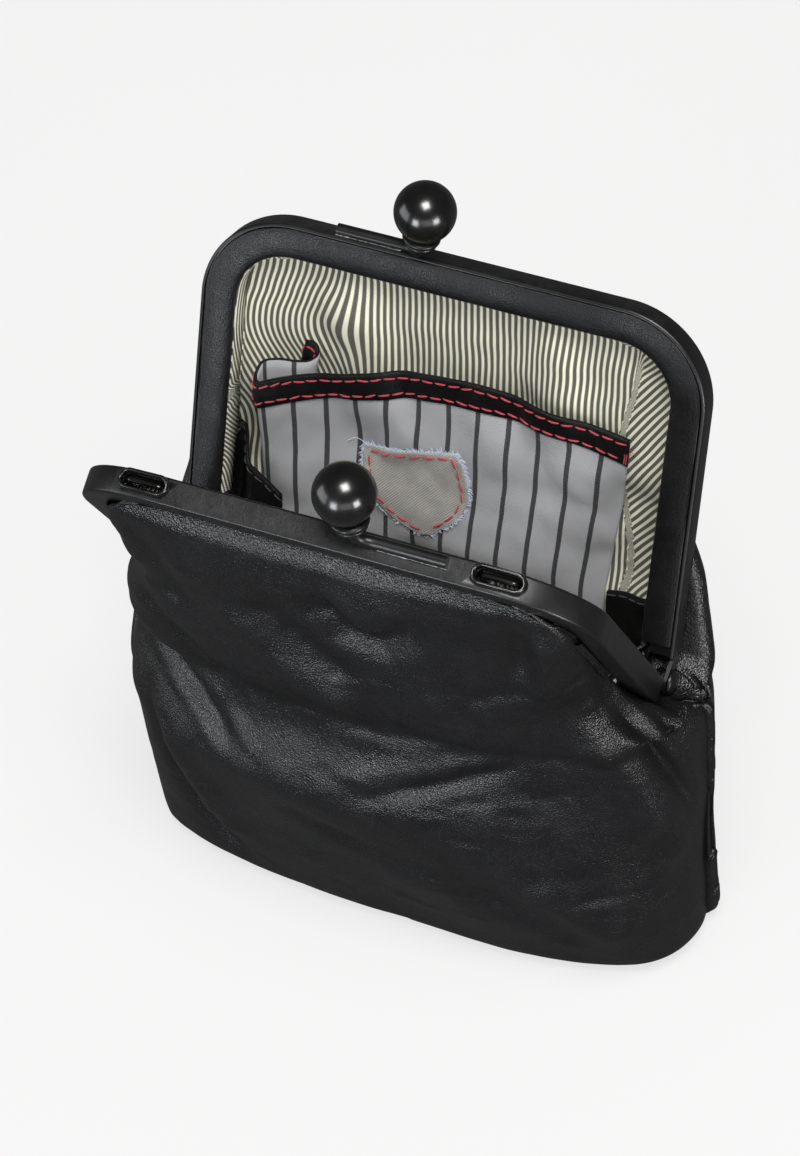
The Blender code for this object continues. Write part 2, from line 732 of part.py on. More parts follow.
def seam_place(x, height):
    """How far along Y the side and bottom seams lie from the hinge line."""
    share = (x / HALF + 1) / 2
    return mix(LEFT_SEAM_SHIFT, RIGHT_SEAM_SHIFT, share) * smooth((SEAM_TOP - height) / SEAM_SHIFT_DROP)


def lower_bows(side, height):
    """The two halves of a row below the seams' top, as (x, out) points."""
    foot = FRONT_FOOT_DEPTH if side == FRONT else REAR_FOOT_DEPTH
    skew = FRONT_SKEW_SHARE if side == FRONT else REAR_SKEW_SHARE
    share = max((height - FOOT_ROUND) / (SEAM_TOP - FOOT_ROUND), 0)
    waist = FRONT_WAIST_DEPTH if side == FRONT else REAR_WAIST_DEPTH
    depth = mix(foot, waist, along(LOWER_STATION_SHARES, LOWER_DEPTH_SHARES, share))
    skew *= smooth(1.2 * (1 - share))
    power = mix(2.9, 2.2, smooth(share * 1.5))
    halves = []
    for sign, foot_half in ((-1, LEFT_FOOT_HALF), (1, RIGHT_FOOT_HALF)):
        widest = mix(WAIST_HALF, foot_half, smooth(1.4 * (1 - share)))
        points = bow(widest, GAP / 2, depth - GAP / 2, power)
        under = [points[0]] * (ROLL_STEPS + 1)
        row = [(sign * x, out) for x, out in under + points]
        halves.append([(x, GAP / 2 + (out - GAP / 2) * (1 + skew * x / HALF)) for x, out in row])
    return halves


def lower_row(side, height, turn=0):
    """One row below the seams' top, or round the foot's edge when it has a turn."""
    reach = FOOT_ROUND * (1 - math.cos(turn))
    level = height if turn == 0 else FOOT_ROUND * (1 - math.sin(turn))
    row = []
    for sign, half in zip((-1, 1), lower_bows(side, height)):
        far, deep = abs(half[0][0]), max(out for x, out in half)
        points = []
        for x, out in half:
            pulled = x * (1 - reach / far)
            outward = GAP / 2 + (out - GAP / 2) * (1 - reach / deep)
            points.append(Vector((pulled, seam_place(pulled, height) + side * outward, level)))
        edge = points[0]
        flaps = []
        for length in (SEAM_TURN, SEAM_CREASE):
            step = Vector((-sign * length * math.cos(turn), 0, length * math.sin(turn)))
            flaps.append(edge + step)
        points = flaps + points
        row = points if sign < 0 else row + points[-2::-1]
    return row


def floor_rows(side, edge_row):
    """Rows from the foot's edge in to the bottom seam, and the seam's turned edge."""
    core = edge_row[2:-2]
    rows = []
    for j in range(1, FLOOR_ROWS + 1):
        share = j / FLOOR_ROWS
        row = []
        for point in core:
            seam = seam_place(point.x, FOOT_ROUND) + side * GAP / 2
            row.append(Vector((point.x, mix(point.y, seam, share), point.z)))
        rows.append(edge_row[:2] + row + edge_row[-2:])
    flaps = []
    for length in (SEAM_CREASE, SEAM_TURN):
        flaps.append([point + Vector((0, 0, length)) for point in rows[-1][2:-2]])
    return rows, flaps


def upper_skin(side):
    """Rows from the seams' top to the bar, then the hem's turned edge in the channel."""
    rows = [upper_row(side, -SEAM_DROP)]
    rows += [upper_row(side, HEM_TOP * share) for share in UPPER_ROW_SHARES]
    low = SEAM_TOP + GAP / 2
    for point in rows[0]:
        point.z = low
    core = [point.x for point in rows[-1][2:-2]]
    flaps = []
    for rise in (0, HEM_DEPTH):
        flaps.append([frame_point(side, x, HEM_TOP + rise, HEM_LEVEL) for x in core])
    return rows, flaps


def lower_skin(side):
    top = SEAM_TOP - GAP / 2
    rows = [lower_row(side, SEAM_TOP)]
    for point in rows[0]:
        point.z = top
    rows += [lower_row(side, mix(SEAM_TOP, FOOT_ROUND, share)) for share in SEAM_ROW_SHARES]
    rows += [lower_row(side, FOOT_ROUND, math.pi / 2 * j / FOOT_ROWS) for j in range(1, FOOT_ROWS + 1)]
    more, flaps = floor_rows(side, rows[-1])
    return rows + more, flaps


def quads(grid):
    found = []
    for low, high in zip(grid, grid[1:]):
        for k in range(len(low) - 1):
            found.append((low[k], low[k + 1], high[k + 1], high[k]))
    return found


def trimmed(row):
    """A row without its turned edges, its rolls and what lies right beside them."""
    first = 2 + ROLL_STEPS + 1 + LINING_SKIP
    core = row[first + 1:-first - 1]
    start = row[first].lerp(row[first + 1], LINING_SHARE)
    end = row[-first - 1].lerp(row[-first - 2], LINING_SHARE)
    return [start] + core + [end]


def lining_faces(side, part):
    """The outside that the lining follows, which stops short of the seams and of the frame."""
    high = [trimmed(row) for row in upper_skin(side)[0][:-LINING_TOP_SKIP]]
    low = [trimmed(row) for row in lower_skin(side)[0][:-1]]
    if part == "upper":
        return quads(high)
    if part == "lower":
        return quads(low)
    return quads(high[:0:-1] + [trimmed(lower_row(side, SEAM_TOP))] + low[1:])


def skin_faces(side, part):
    """The faces of a panel's outside, as corner points."""
    if part == "upper":
        rows, flaps = upper_skin(side)
        return quads(rows) + quads([rows[-1][2:-2]] + flaps)
    if part == "lower":
        rows, flaps = lower_skin(side)
        return quads(rows) + quads([rows[-1][2:-2]] + flaps)
    high, high_flaps = upper_skin(side)
    low, low_flaps = lower_skin(side)
    rows = high[:0:-1] + [lower_row(side, SEAM_TOP)] + low[1:]
    top = quads([high[-1][2:-2]] + high_flaps)
    return quads(rows) + [face[::-1] for face in top] + quads([rows[-1][2:-2]] + low_flaps)


def thicken(name, side, part, near, far, look):
    """A wall between two depths under a panel's outside."""
    skin = bmesh.new()
    faces = skin_faces(side, part) if near == 0 else lining_faces(side, part)
    for face in faces:
        skin.faces.new([skin.verts.new(point) for point in face])
    bmesh.ops.remove_doubles(skin, verts=skin.verts, dist=GAP / 10)
    skin.normal_update()
    bmesh.ops.recalc_face_normals(skin, faces=skin.faces)
    middle = max(skin.faces, key=lambda face: side * face.calc_center_median().y)
    if middle.normal.y * side < 0:
        bmesh.ops.reverse_faces(skin, faces=skin.faces)
    wall = bmesh.new()
    layers = []
    for depth in (near, far):
        made = {}
        for vert in skin.verts:
            way = Vector()
            for corner in vert.link_loops:
                way += corner.face.normal * corner.calc_angle()
            if part != "whole" and vert.is_boundary and abs(vert.co.z - SEAM_TOP) < GAP:
                way.z = 0
            way.normalize()
            shares = [way.dot(corner.face.normal) for corner in vert.link_loops]
            stretch = min(1 / max(sum(shares) / len(shares), 0.5), 1.35)
            made[vert] = wall.verts.new(vert.co - way * depth * stretch)
        layers.append(made)
    outer, inner = layers
    for face in skin.faces:
        wall.faces.new([outer[vert] for vert in face.verts])
        wall.faces.new([inner[vert] for vert in reversed(face.verts)])
    for edge in skin.edges:
        if edge.is_boundary:
            corner = edge.link_loops[0]
            a, b = corner.vert, corner.link_loop_next.vert
            wall.faces.new((outer[b], outer[a], inner[a], inner[b]))
    skin.free()
    return add_mesh(name, wall, look)


def rest_on(tree, x, up, standoff):
    """A point in front of the back lining, at a height up the back from the hinge line."""
    lean = level_lean(up)
    y, z = (up * math.sin(OPEN_EACH), up * math.cos(OPEN_EACH)) if up > 0 else (0, up)
    start = Vector((x, y + seam_place(x, HINGE_HEIGHT + z), HINGE_HEIGHT + z))
    place, normal, index, reach = tree.ray_cast(start, Vector((0, math.cos(lean), -math.sin(lean))))
    if normal.y > 0:
        normal = -normal
    return place + normal * standoff


def laid(name, tree, spots, near, far, look):
    """A wall on the back lining, from rows of (x, up, standoff) spots."""
    grids = []
    for depth in (near, far):
        grids.append([[rest_on(tree, x, up, off + depth) for x, up, off in row] for row in spots])
    return sheet(name, grids[0], grids[1], look)


def pocket_place(share, up):
    """Where across the pouch a share of the pocket's width lies."""
    taper = min(max(up / POCKET_TAPER, 0), 1)
    return mix(POCKET_FOOT_SIDE, POCKET_SIDE, taper) + share * mix(POCKET_FOOT_HALF, POCKET_HALF, taper)


def pocket_top(share):
    """The pocket's upper edge at a share across it, from -1 at its left to 1."""
    return POCKET_TOP - POCKET_SAG * share * share + POCKET_TILT * share


def pocket_gape(share, up):
    low = POCKET_BOTTOM - HINGE_HEIGHT
    return POCKET_GAPE * (1 - share * share) * smooth((up - low) / (POCKET_TOP - low) * 1.4)


def pocket_spots(top, bottom, rows, columns=14):
    spots = []
    for j in range(rows + 1):
        row = []
        for k in range(columns + 1):
            share = 2 * k / columns - 1
            up = mix(top(share), bottom(share), j / rows)
            row.append((pocket_place(share, up), up, POCKET_GAP + pocket_gape(share, up)))
        spots.append(row)
    return spots


def patch_spots(rows=8, columns=6):
    spots = []
    for j in range(rows + 1):
        down = j / rows
        half = PATCH_WIDTH / 2 * along(PATCH_STATION_SHARES, PATCH_WIDTH_SHARES, down)
        row = []
        for k in range(columns + 1):
            across, below = mix(-half, half, k / columns), PATCH_HEIGHT * down
            x = PATCH_SIDE + across * math.cos(PATCH_TURN) + below * math.sin(PATCH_TURN)
            up = PATCH_TOP + across * math.sin(PATCH_TURN) - below * math.cos(PATCH_TURN)
            middle = pocket_place(0, up)
            share = (x - middle) / (pocket_place(1, up) - middle)
            row.append((x, up, POCKET_GAP + pocket_gape(share, up)))
        spots.append(row)
    return spots


def facing_spots(sign, rows=7, columns=3):
    outer = HEM_HALF - 3 * LEATHER
    spots = []
    top = FACING_LEFT_TOP if sign < 0 else FACING_RIGHT_TOP
    for j in range(rows + 1):
        up = mix(top, -FACING_BOTTOM, j / rows)
        spots.append([(sign * mix(FACING_INNER, outer, k / columns), up, 0) for k in range(columns + 1)])
    return spots


def dress(leather, ticking, twill, cotton):
    """Everything sewn."""
    near, far = LEATHER + LAYER_GAP, LEATHER + LAYER_GAP + LINING
    thicken("front_panel_upper", FRONT, "upper", 0, LEATHER, leather)
    thicken("front_panel_lower", FRONT, "lower", 0, LEATHER, leather)
    thicken("back_panel", REAR, "whole", 0, LEATHER, leather)
    thicken("front_lining_upper", FRONT, "upper", near, far, ticking)
    thicken("front_lining_lower", FRONT, "lower", near, far, ticking)
    back = thicken("back_lining", REAR, "whole", near, far, ticking)
    shape = bmesh.new()
    shape.from_mesh(back.data)
    tree = BVHTree.FromBMesh(shape)
    shape.free()

    def bottom(share):
        return POCKET_BOTTOM - HINGE_HEIGHT

    def band_bottom(share):
        return pocket_top(share) - BAND_WIDTH

    over = LINING + LAYER_GAP
    laid("pocket_cloth", tree, pocket_spots(pocket_top, bottom, 9), 0, LINING, twill)
    laid("pocket_band", tree, pocket_spots(pocket_top, band_bottom, 2), over, over + BAND_WALL, leather)
    laid("pocket_patch", tree, patch_spots(), over, over + PATCH_WALL, cotton)
    laid("gusset_facing_left", tree, facing_spots(-1), FACING_GAP, FACING_GAP + FACING_WALL, leather)
    laid("gusset_facing_right", tree, facing_spots(1), FACING_GAP, FACING_GAP + FACING_WALL, leather)


def build():
    clear_scene()
    paint = material("black_painted_steel", (0.012, 0.012, 0.013), 0.42, 0.35)
    gloss = material("black_gloss_ball", (0.006, 0.006, 0.007), 0.12, 0.6)
    leather = material("black_leather", (0.016, 0.016, 0.018), 0.46)
    ticking = material("striped_ticking", (0.62, 0.6, 0.5), 0.85)
    twill = material("grey_twill", (0.42, 0.4, 0.37), 0.85)
    cotton = material("patch_cotton", (0.7, 0.68, 0.58), 0.85)
    paper = material("paper_cord", (0.5, 0.42, 0.3), 0.9)

    for side in (FRONT, REAR):
        frame_half(side, paint)
        clasp(side, paint, gloss)
        lip(side, leather)
    for sign in (-1, 1):
        hinge_pin(sign, paint)
        eyelet(sign, paint)
        strap_loop(sign, paint)

    channel_cord("rear_channel_cord", REAR, 0, 1, paper)
    total = 2 * (FRAME_HEIGHT - FRAME_CORNER - CORD_START) + 2 * (HALF - FRAME_CORNER)
    total += math.pi * (FRAME_CORNER - WEB - GAP - CORD_RADIUS)
    clear = SLOT_LENGTH / 2 + LOOP_FOOT + CORD_RADIUS
    near, far = (SLOT_PLACE - clear) / total, (SLOT_PLACE + clear) / total
    channel_cord("front_channel_cord_left", FRONT, 0, 0.5 - far, paper)
    channel_cord("front_channel_cord_middle", FRONT, 0.5 - near, 0.5 + near, paper)
    channel_cord("front_channel_cord_right", FRONT, 0.5 + far, 1, paper)

    dress(leather, ticking, twill, cotton)


build()
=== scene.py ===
"""Looks of a hinged leather phone pouch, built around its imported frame. Metres, +Z up."""

import json
import math
import random

import bmesh
import bpy
import numpy as np
from mathutils import Matrix, Vector, noise
from mathutils.bvhtree import BVHTree


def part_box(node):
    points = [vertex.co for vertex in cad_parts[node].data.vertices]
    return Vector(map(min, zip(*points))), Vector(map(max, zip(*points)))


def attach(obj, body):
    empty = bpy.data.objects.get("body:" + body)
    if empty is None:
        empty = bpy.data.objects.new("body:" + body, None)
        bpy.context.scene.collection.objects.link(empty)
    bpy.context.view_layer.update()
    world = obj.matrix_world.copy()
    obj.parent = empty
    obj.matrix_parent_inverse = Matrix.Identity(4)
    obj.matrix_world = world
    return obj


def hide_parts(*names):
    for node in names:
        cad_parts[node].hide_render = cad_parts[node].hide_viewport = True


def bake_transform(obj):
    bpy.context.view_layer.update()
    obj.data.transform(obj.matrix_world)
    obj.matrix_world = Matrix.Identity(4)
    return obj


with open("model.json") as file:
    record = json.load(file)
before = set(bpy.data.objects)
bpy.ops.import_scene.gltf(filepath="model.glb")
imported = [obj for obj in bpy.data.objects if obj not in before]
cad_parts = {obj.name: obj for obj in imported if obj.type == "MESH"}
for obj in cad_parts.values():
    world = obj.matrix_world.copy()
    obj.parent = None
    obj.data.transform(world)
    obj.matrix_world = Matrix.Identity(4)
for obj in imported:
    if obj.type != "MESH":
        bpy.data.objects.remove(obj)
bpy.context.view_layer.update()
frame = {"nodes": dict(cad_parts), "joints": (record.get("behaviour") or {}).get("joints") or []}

MM = 0.001
FRONT, REAR = -1, 1
HALVES = ((FRONT, "front", "front_half"), (REAR, "rear", "rear_half"))
ENDS = ((-1, "left"), (1, "right"))
HINGE = next(joint for joint in frame["joints"] if joint["name"] == "mouth_hinge")
HINGE_HEIGHT = HINGE["pos_m"][2]
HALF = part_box("rear_frame")[1].x

# Frames
FRAME_HEIGHT = 93.4 * MM
FRAME_CORNER = 23 * MM
FRAME_DEPTH = 7 * MM
WEB = 1 * MM
FLANGE = 6.5 * MM
FLANGE_WALL = 0.9 * MM
EDGE_ROUND = 0.75 * MM
LIP_RECESS = 0.9 * MM
OPEN_EACH = math.radians(25.4)
GAP = 0.3 * MM
LEG_END = 6 * MM
CORNER_STEPS = 28
BAR_STEP = 3 * MM

# Hinges
EYE_RADIUS = 3.2 * MM
EYE_WALL = 0.9 * MM
EYE_ROOT = 2.5 * MM
WASHER_WALL = 0.6 * MM
RIVET_HEAD = 3 * MM
RIVET_DOME = 1.4 * MM
RIVET_RADIUS = 1.2 * MM
RIVET_TAIL = 2.2 * MM
RIVET_TAIL_WALL = 0.9 * MM
RIVET_CORE = 0.1 * MM

# Clasp
BALL_RADIUS = 7.5 * MM
BALL_HEIGHT = 13.8 * MM
BALL_PASSING_GAP = 0.4 * MM
BALL_OVERREACH = 4 * MM
FRONT_BALL_LEAN = math.radians(34)
REAR_BALL_LEAN = math.radians(16)
BALL_SWAY = math.radians(8)
COLLAR_RADIUS = 4.6 * MM
COLLAR_LENGTH = 2.7 * MM
STEM_RADIUS = 1.5 * MM
STEM_RISE = 0.9 * MM
STEM_OUT = 2.6 * MM
STEM_REACH = 24 * MM
STEM_BEND = 7 * MM
STEM_PULL = 3.6 * MM
STEM_FALL = 2.8 * MM
STEM_STEPS = 10
SEAM_BEAD = 0.28 * MM

# Strap loops
SLOT_PLACE = 44 * MM
SLOT_LENGTH = 11 * MM
SLOT_WIDTH = 3 * MM
SLOT_OUT = 3.05 * MM
EYELET_WALL = 1.15 * MM
EYELET_RISE = 1.6 * MM
LOOP_WIRE = 0.65 * MM
LOOP_WIDTH = 9.6 * MM
LOOP_DROP = 5.2 * MM
LOOP_FOOT = 2 * MM
LOOP_BEND = 1.05 * MM

# Leather and lining
LEATHER = 1.2 * MM
LINING = 0.4 * MM
LAYER_GAP = 0.5 * MM
WAIST_HALF = 75 * MM
LEFT_FOOT_HALF = 75 * MM
RIGHT_FOOT_HALF = 73.5 * MM
FRONT_WAIST_DEPTH = 36.5 * MM
REAR_WAIST_DEPTH = 29 * MM
FRONT_FOOT_DEPTH = 24.5 * MM
REAR_FOOT_DEPTH = 19 * MM
LEFT_SEAM_SHIFT = -12 * MM
RIGHT_SEAM_SHIFT = -1 * MM
SEAM_SHIFT_DROP = 26 * MM
FOOT_ROUND = 9 * MM
SEAM_DROP = 5 * MM
SEAM_TURN = 3.6 * MM
SEAM_CREASE = 3 * MM
ROLL = 3 * MM
HEM_DEPTH_AT_BAR = 7.9 * MM
HEM_START = 5.5 * MM
NOTCH_LOW = 1 * MM
NOTCH_HIGH = 4 * MM
HEM_OVER = 13 * MM
HEM_IN = 18 * MM
HEM_DEPTH = 2.3 * MM
LEVEL_RISE = 60 * MM
LEVEL_REACH = 12 * MM
LIP_WIDTH = 7.6 * MM
LIP_PUFF = 2.1 * MM
LIP_START = 9 * MM

# Pocket
POCKET_HALF = 49 * MM
POCKET_FOOT_HALF = 46.5 * MM
POCKET_SIDE = -4.5 * MM
POCKET_FOOT_SIDE = -6.5 * MM
POCKET_TAPER = 50 * MM
POCKET_TOP = 61 * MM
POCKET_SAG = 10.5 * MM
POCKET_TILT = 4.5 * MM
POCKET_GAP = 1.2 * MM
POCKET_BOTTOM = 42 * MM
POCKET_GAPE = 6 * MM
POCKET_LEFT_DRAW = 4.4 * MM
POCKET_LEFT_LIFT = 2.6 * MM
POCKET_COLUMNS, POCKET_ROWS = 110, 46
# Ripples of the pocket cloth: height, scale and seed
RIPPLES = ((0.5 * MM, 18 * MM, 31), (0.2 * MM, 6 * MM, 33))
PINSTRIPE_SHIFT = 0.45 * MM
BAND_WIDTH = 7.2 * MM
BAND_WALL = 1.1 * MM
BAND_ROWS = 10
BAND_OVER, BAND_PROBE = 0.2 * MM, 0.5 * MM

# Shares that shape the skin, the same as in the solids
UPPER_STATION_SHARES = (0, 0.22, 0.4, 0.6, 0.8, 0.92, 1)
UPPER_DEPTH_SHARES = (1, 0.87, 0.72, 0.5, 0.28, 0.12, 0)
OVER_STATION_SHARES = (-0.06, 0.05, 0.16, 0.27, 0.39, 0.51, 0.64, 1)
LOOSE_OVER_SHARES = (1, 0.84, 0.69, 0.54, 0.22, 0.02, 0, 0)
TIGHT_OVER_SHARES = (1, 0.72, 0.28, 0.08, 0, 0, 0, 0)
LOWER_STATION_SHARES = (0, 0.25, 0.55, 0.85, 1)
LOWER_DEPTH_SHARES = (0, 0.4, 0.78, 0.97, 1)
FRONT_SKEW_SHARE, REAR_SKEW_SHARE = 0.3, -0.1
SPREAD_SHARE = 1.15
COLUMNS = 92
UNDER_STEPS = 4
ROLL_STEPS = 10
UPPER_ROWS = 92
SEAM_ROWS = 80
FOOT_ROWS = 9
FLOOR_ROWS = 8

HEM_HALF = HALF - FLANGE - 2 * GAP
HEM_TOP = FRAME_HEIGHT - FLANGE - 2 * GAP
CHANNEL_LOW = 2 * LIP_RECESS + GAP
CHANNEL_HIGH = FRAME_DEPTH - FLANGE_WALL
HEM_LEVEL = CHANNEL_HIGH - GAP
SEAM_TOP = HINGE_HEIGHT - SEAM_DROP
BALL_PLACE = BALL_RADIUS + BALL_PASSING_GAP / 2

random.seed(7)


def smooth(value):
    value = min(max(value, 0), 1)
    return value * value * (3 - 2 * value)


def mix(low, high, share):
    return low + (high - low) * share


def along(stations, values, at):
    """Smooth curve through a table."""
    at = min(max(at, stations[0]), stations[-1])
    k = max(n for n in range(len(stations) - 1) if stations[n] <= at)
    slopes = []
    for n in (k, k + 1):
        low, high = max(n - 1, 0), min(n + 1, len(stations) - 1)
        slopes.append((values[high] - values[low]) / (stations[high] - stations[low]))
    span = stations[k + 1] - stations[k]
    t = (at - stations[k]) / span
    return (
        values[k] * (1 + 2 * t) * (1 - t) ** 2
        + slopes[0] * span * t * (1 - t) ** 2
        + values[k + 1] * t * t * (3 - 2 * t)
        + slopes[1] * span * t * t * (t - 1)
    )


def rise_at(up):
    """Y and Z of a place up the rear frame's plane, or straight below the hinge line."""
    return (up * math.sin(OPEN_EACH), up * math.cos(OPEN_EACH)) if up > 0 else (0, up)


def frame_point(side, x, up, out, lean=OPEN_EACH):
    """A point of a frame half: along X, up its plane from the hinge, and out from the meeting plane."""
    y = side * (up * math.sin(lean) + out * math.cos(lean))
    return Vector((x, y, HINGE_HEIGHT + up * math.cos(lean) - out * math.sin(lean)))


def frame_way(side, up, out):
    """A move up a frame half's plane and out from the meeting plane."""
    return frame_point(side, 0, up, out) - frame_point(side, 0, 0, 0)


# Camera, which matches the photograph's view
VIEW_FROM = Vector((0.29582, -0.54324, 0.78573)).normalized()
VIEW_RIGHT = Vector((0.92078, 0.38112, -0.08316))
VIEW_DISTANCE = 1.1596
PICTURE_HEIGHT = 1156
PICTURE_WIDTH = 800
HINGE_PIXEL = (421.57, 613.64)
FRAME_PIXELS = 530.1
SENSOR = 36


def add_camera():
    right = (VIEW_RIGHT - VIEW_FROM * VIEW_RIGHT.dot(VIEW_FROM)).normalized()
    up = VIEW_FROM.cross(right).normalized()
    data = bpy.data.cameras.new("photo_camera")
    camera = bpy.data.objects.new("photo_camera", data)
    bpy.context.scene.collection.objects.link(camera)
    placed = Matrix((right, up, VIEW_FROM)).transposed().to_4x4()
    placed.translation = Vector((0, 0, HINGE_HEIGHT)) + VIEW_FROM * VIEW_DISTANCE
    camera.matrix_world = placed
    data.sensor_fit = "VERTICAL"
    data.sensor_height = SENSOR
    data.lens = FRAME_PIXELS * VIEW_DISTANCE / (2 * HALF) / PICTURE_HEIGHT * SENSOR
    data.shift_x = -(HINGE_PIXEL[0] - PICTURE_WIDTH / 2) / PICTURE_HEIGHT
    data.shift_y = (HINGE_PIXEL[1] - PICTURE_HEIGHT / 2) / PICTURE_HEIGHT
    data.clip_start = 0.01
    bpy.context.scene.camera = camera


# Materials
def grey(value):
    return (value, value, value)


class Look:
    """The nodes of a material or of the world, with short calls that add and join more."""

    def __init__(self, made, shader="Principled BSDF"):
        made.use_nodes = True
        self.made, self.nodes, self.links = made, made.node_tree.nodes, made.node_tree.links
        self.shader = self.nodes[shader]

    def node(self, kind, **values):
        made = self.nodes.new("ShaderNode" + kind)
        for key, value in values.items():
            if key in made.inputs:
                made.inputs[key].default_value = value
            else:
                setattr(made, key, value)
        return made

    def feed(self, socket, value):
        """Joins an output to a socket, or gives the socket a plain number or colour."""
        if isinstance(value, tuple):
            socket.default_value = (*value, 1)
        elif isinstance(value, (int, float)):
            socket.default_value = value
        else:
            self.links.new(value, socket)

    def math(self, operation, *values):
        made = self.node("Math", operation=operation)
        for socket, value in zip(made.inputs, values):
            self.feed(socket, value)
        return made.outputs[0]

    def mix(self, share, first, second):
        made = self.node("Mix", data_type="RGBA")
        for place, value in ((0, share), (6, first), (7, second)):
            self.feed(made.inputs[place], value)
        return made.outputs[2]

    def clamp(self, source):
        made = self.node("Clamp")
        self.links.new(source, made.inputs[0])
        return made.outputs[0]

    def ramp(self, source, *stops):
        """Two colours, each with the height where it starts."""
        made = self.node("ValToRGB")
        self.links.new(source, made.inputs[0])
        for element, (place, colour) in zip(made.color_ramp.elements, stops):
            element.position = place
            element.color = (*colour, 1)
        return made.outputs[0]

    def texture(self, kind, output, **values):
        made = self.node("Tex" + kind, **values)
        self.links.new(self.where, made.inputs["Vector"])
        return made.outputs[output]

    def noise(self, scale, detail=2, rough=0.5, distortion=0):
        values = {"Scale": scale, "Detail": detail, "Roughness": rough, "Distortion": distortion}
        return self.texture("Noise", "Fac", **values)

    def bumps(self, *layers):
        """Outputs laid over each other as bump, each with its height in metres and its strength."""
        last = None
        for height, distance, strength in layers:
            bump = self.node("Bump", Strength=strength, Distance=distance)
            self.links.new(height, bump.inputs["Height"])
            if last is not None:
                self.links.new(last, bump.inputs["Normal"])
            last = bump.outputs[0]
        self.links.new(last, self.shader.inputs["Normal"])

    def surface(self, values):
        for key, value in values.items():
            self.feed(self.shader.inputs[key], value)
        return self.made


def solid_look(name):
    """A material laid by rest coordinates, which a pose doesn't slide."""
    look = Look(bpy.data.materials.new(name))
    look.where = look.node("TexCoord").outputs["Object"]
    return look


def cloth_look(name):
    """A material laid by distances over the flat cloth, and those distances across and down it."""
    look = Look(bpy.data.materials.new(name))
    look.where = look.node("UVMap", uv_map="cloth").outputs[0]
    split = look.node("SeparateXYZ")
    look.links.new(look.where, split.inputs[0])
    return look, split.outputs["X"], split.outputs["Y"]


def leather_material(name, grain=1, rough=0.34, dark=0.0018, light=0.004, relief=0.36, gloss=0.55):
    look = solid_look(name)
    cloud, fine = look.noise(45, 5, 0.55), look.noise(900, 3, 0.6)
    wrinkle = look.noise(150, 6, 0.62, 0.5)
    pebble = look.texture("Voronoi", "Distance", Scale=2100 / grain, feature="SMOOTH_F1", Smoothness=0.35)
    pore = look.texture("Voronoi", "Distance", Scale=1250 / grain, feature="DISTANCE_TO_EDGE")
    edge = look.ramp(pore, (0, grey(0)), (0.16, grey(1)))
    look.bumps(
        (wrinkle, 1.2 * MM, 0.8 * relief), (edge, 0.3 * MM, 0.5 * relief),
        (pebble, 0.6 * MM, 0.75 * relief), (fine, 0.3 * MM, 0.5 * relief),
    )
    return look.surface({
        "Base Color": look.ramp(cloud, (0.3, (dark, dark, dark * 1.3)), (0.7, (light, light, light * 1.25))),
        "Roughness": look.ramp(wrinkle, (0.3, grey(rough - 0.07)), (0.7, grey(rough + 0.1))),
        "Specular IOR Level": gloss,
    })


def paint_material(name, rough=0.36, scuff_and_highlight=0):
    look = solid_look(name)
    cloud, speck, scratch = look.noise(70, 6, 0.6), look.noise(1400, 2, 0.6), look.noise(420, 5, 0.7, 1.2)
    wear = look.math("MULTIPLY", cloud, scratch)
    # Lighter tone of the scuff patches. For the bar's top paint it is raised, partly for real scuffs and
    # partly as painted highlight.
    scuff_and_highlight_tone = 0.006 + 0.012 * scuff_and_highlight
    look.bumps((scratch, 0.18 * MM, 0.1 + 0.35 * scuff_and_highlight), (speck, 0.06 * MM, 0.12 + 0.2 * scuff_and_highlight))
    return look.surface({
        "Base Color": look.ramp(wear, (0.2, (0.003, 0.003, 0.0034)), (0.5, (scuff_and_highlight_tone, scuff_and_highlight_tone, scuff_and_highlight_tone * 1.05))),
        "Roughness": look.ramp(cloud, (0.3, grey(rough - 0.06)), (0.75, grey(rough + 0.1))),
        "Specular IOR Level": 0.4, "Coat Weight": 0.12, "Coat Roughness": 0.25,
    })


def ball_material():
    look = solid_look("black_ball_enamel")
    cloud = look.noise(160, 4, 0.6)
    look.bumps((look.noise(520), 0.08 * MM, 0.1))
    return look.surface({
        "Base Color": look.ramp(cloud, (0.3, grey(0.0025)), (0.8, grey(0.004))),
        "Roughness": look.ramp(cloud, (0.3, grey(0.2)), (0.75, grey(0.28))),
        "Specular IOR Level": 0.5, "Coat Weight": 0.25, "Coat Roughness": 0.16,
    })


def solder_material():
    look = solid_look("silvery_solder")
    speck = look.noise(1100, 3)
    look.bumps((speck, 0.1 * MM, 0.4))
    tone = look.ramp(speck, (0.35, grey(0.05)), (0.7, grey(0.34)))
    return look.surface({"Base Color": tone, "Metallic": 0.8, "Roughness": 0.42})


STRIPE_SOFT = 0.14 * MM


def stripes(look, across, pitch, width):
    """1 on a stripe and 0 between, with soft sides."""
    part = look.math("FRACT", look.math("DIVIDE", across, pitch))
    away = look.math("ABSOLUTE", look.math("SUBTRACT", part, 0.5))
    edge = look.math("SUBTRACT", width / pitch / 2, away)
    return look.clamp(look.math("MULTIPLY_ADD", edge, pitch / STRIPE_SOFT, 0.5))


def wave(look, source, pitch):
    """A height between 0 and 1 that repeats at a pitch."""
    angle = look.math("MULTIPLY", source, 2 * math.pi / pitch)
    return look.math("MULTIPLY_ADD", look.math("SINE", angle), 0.5, 0.5)


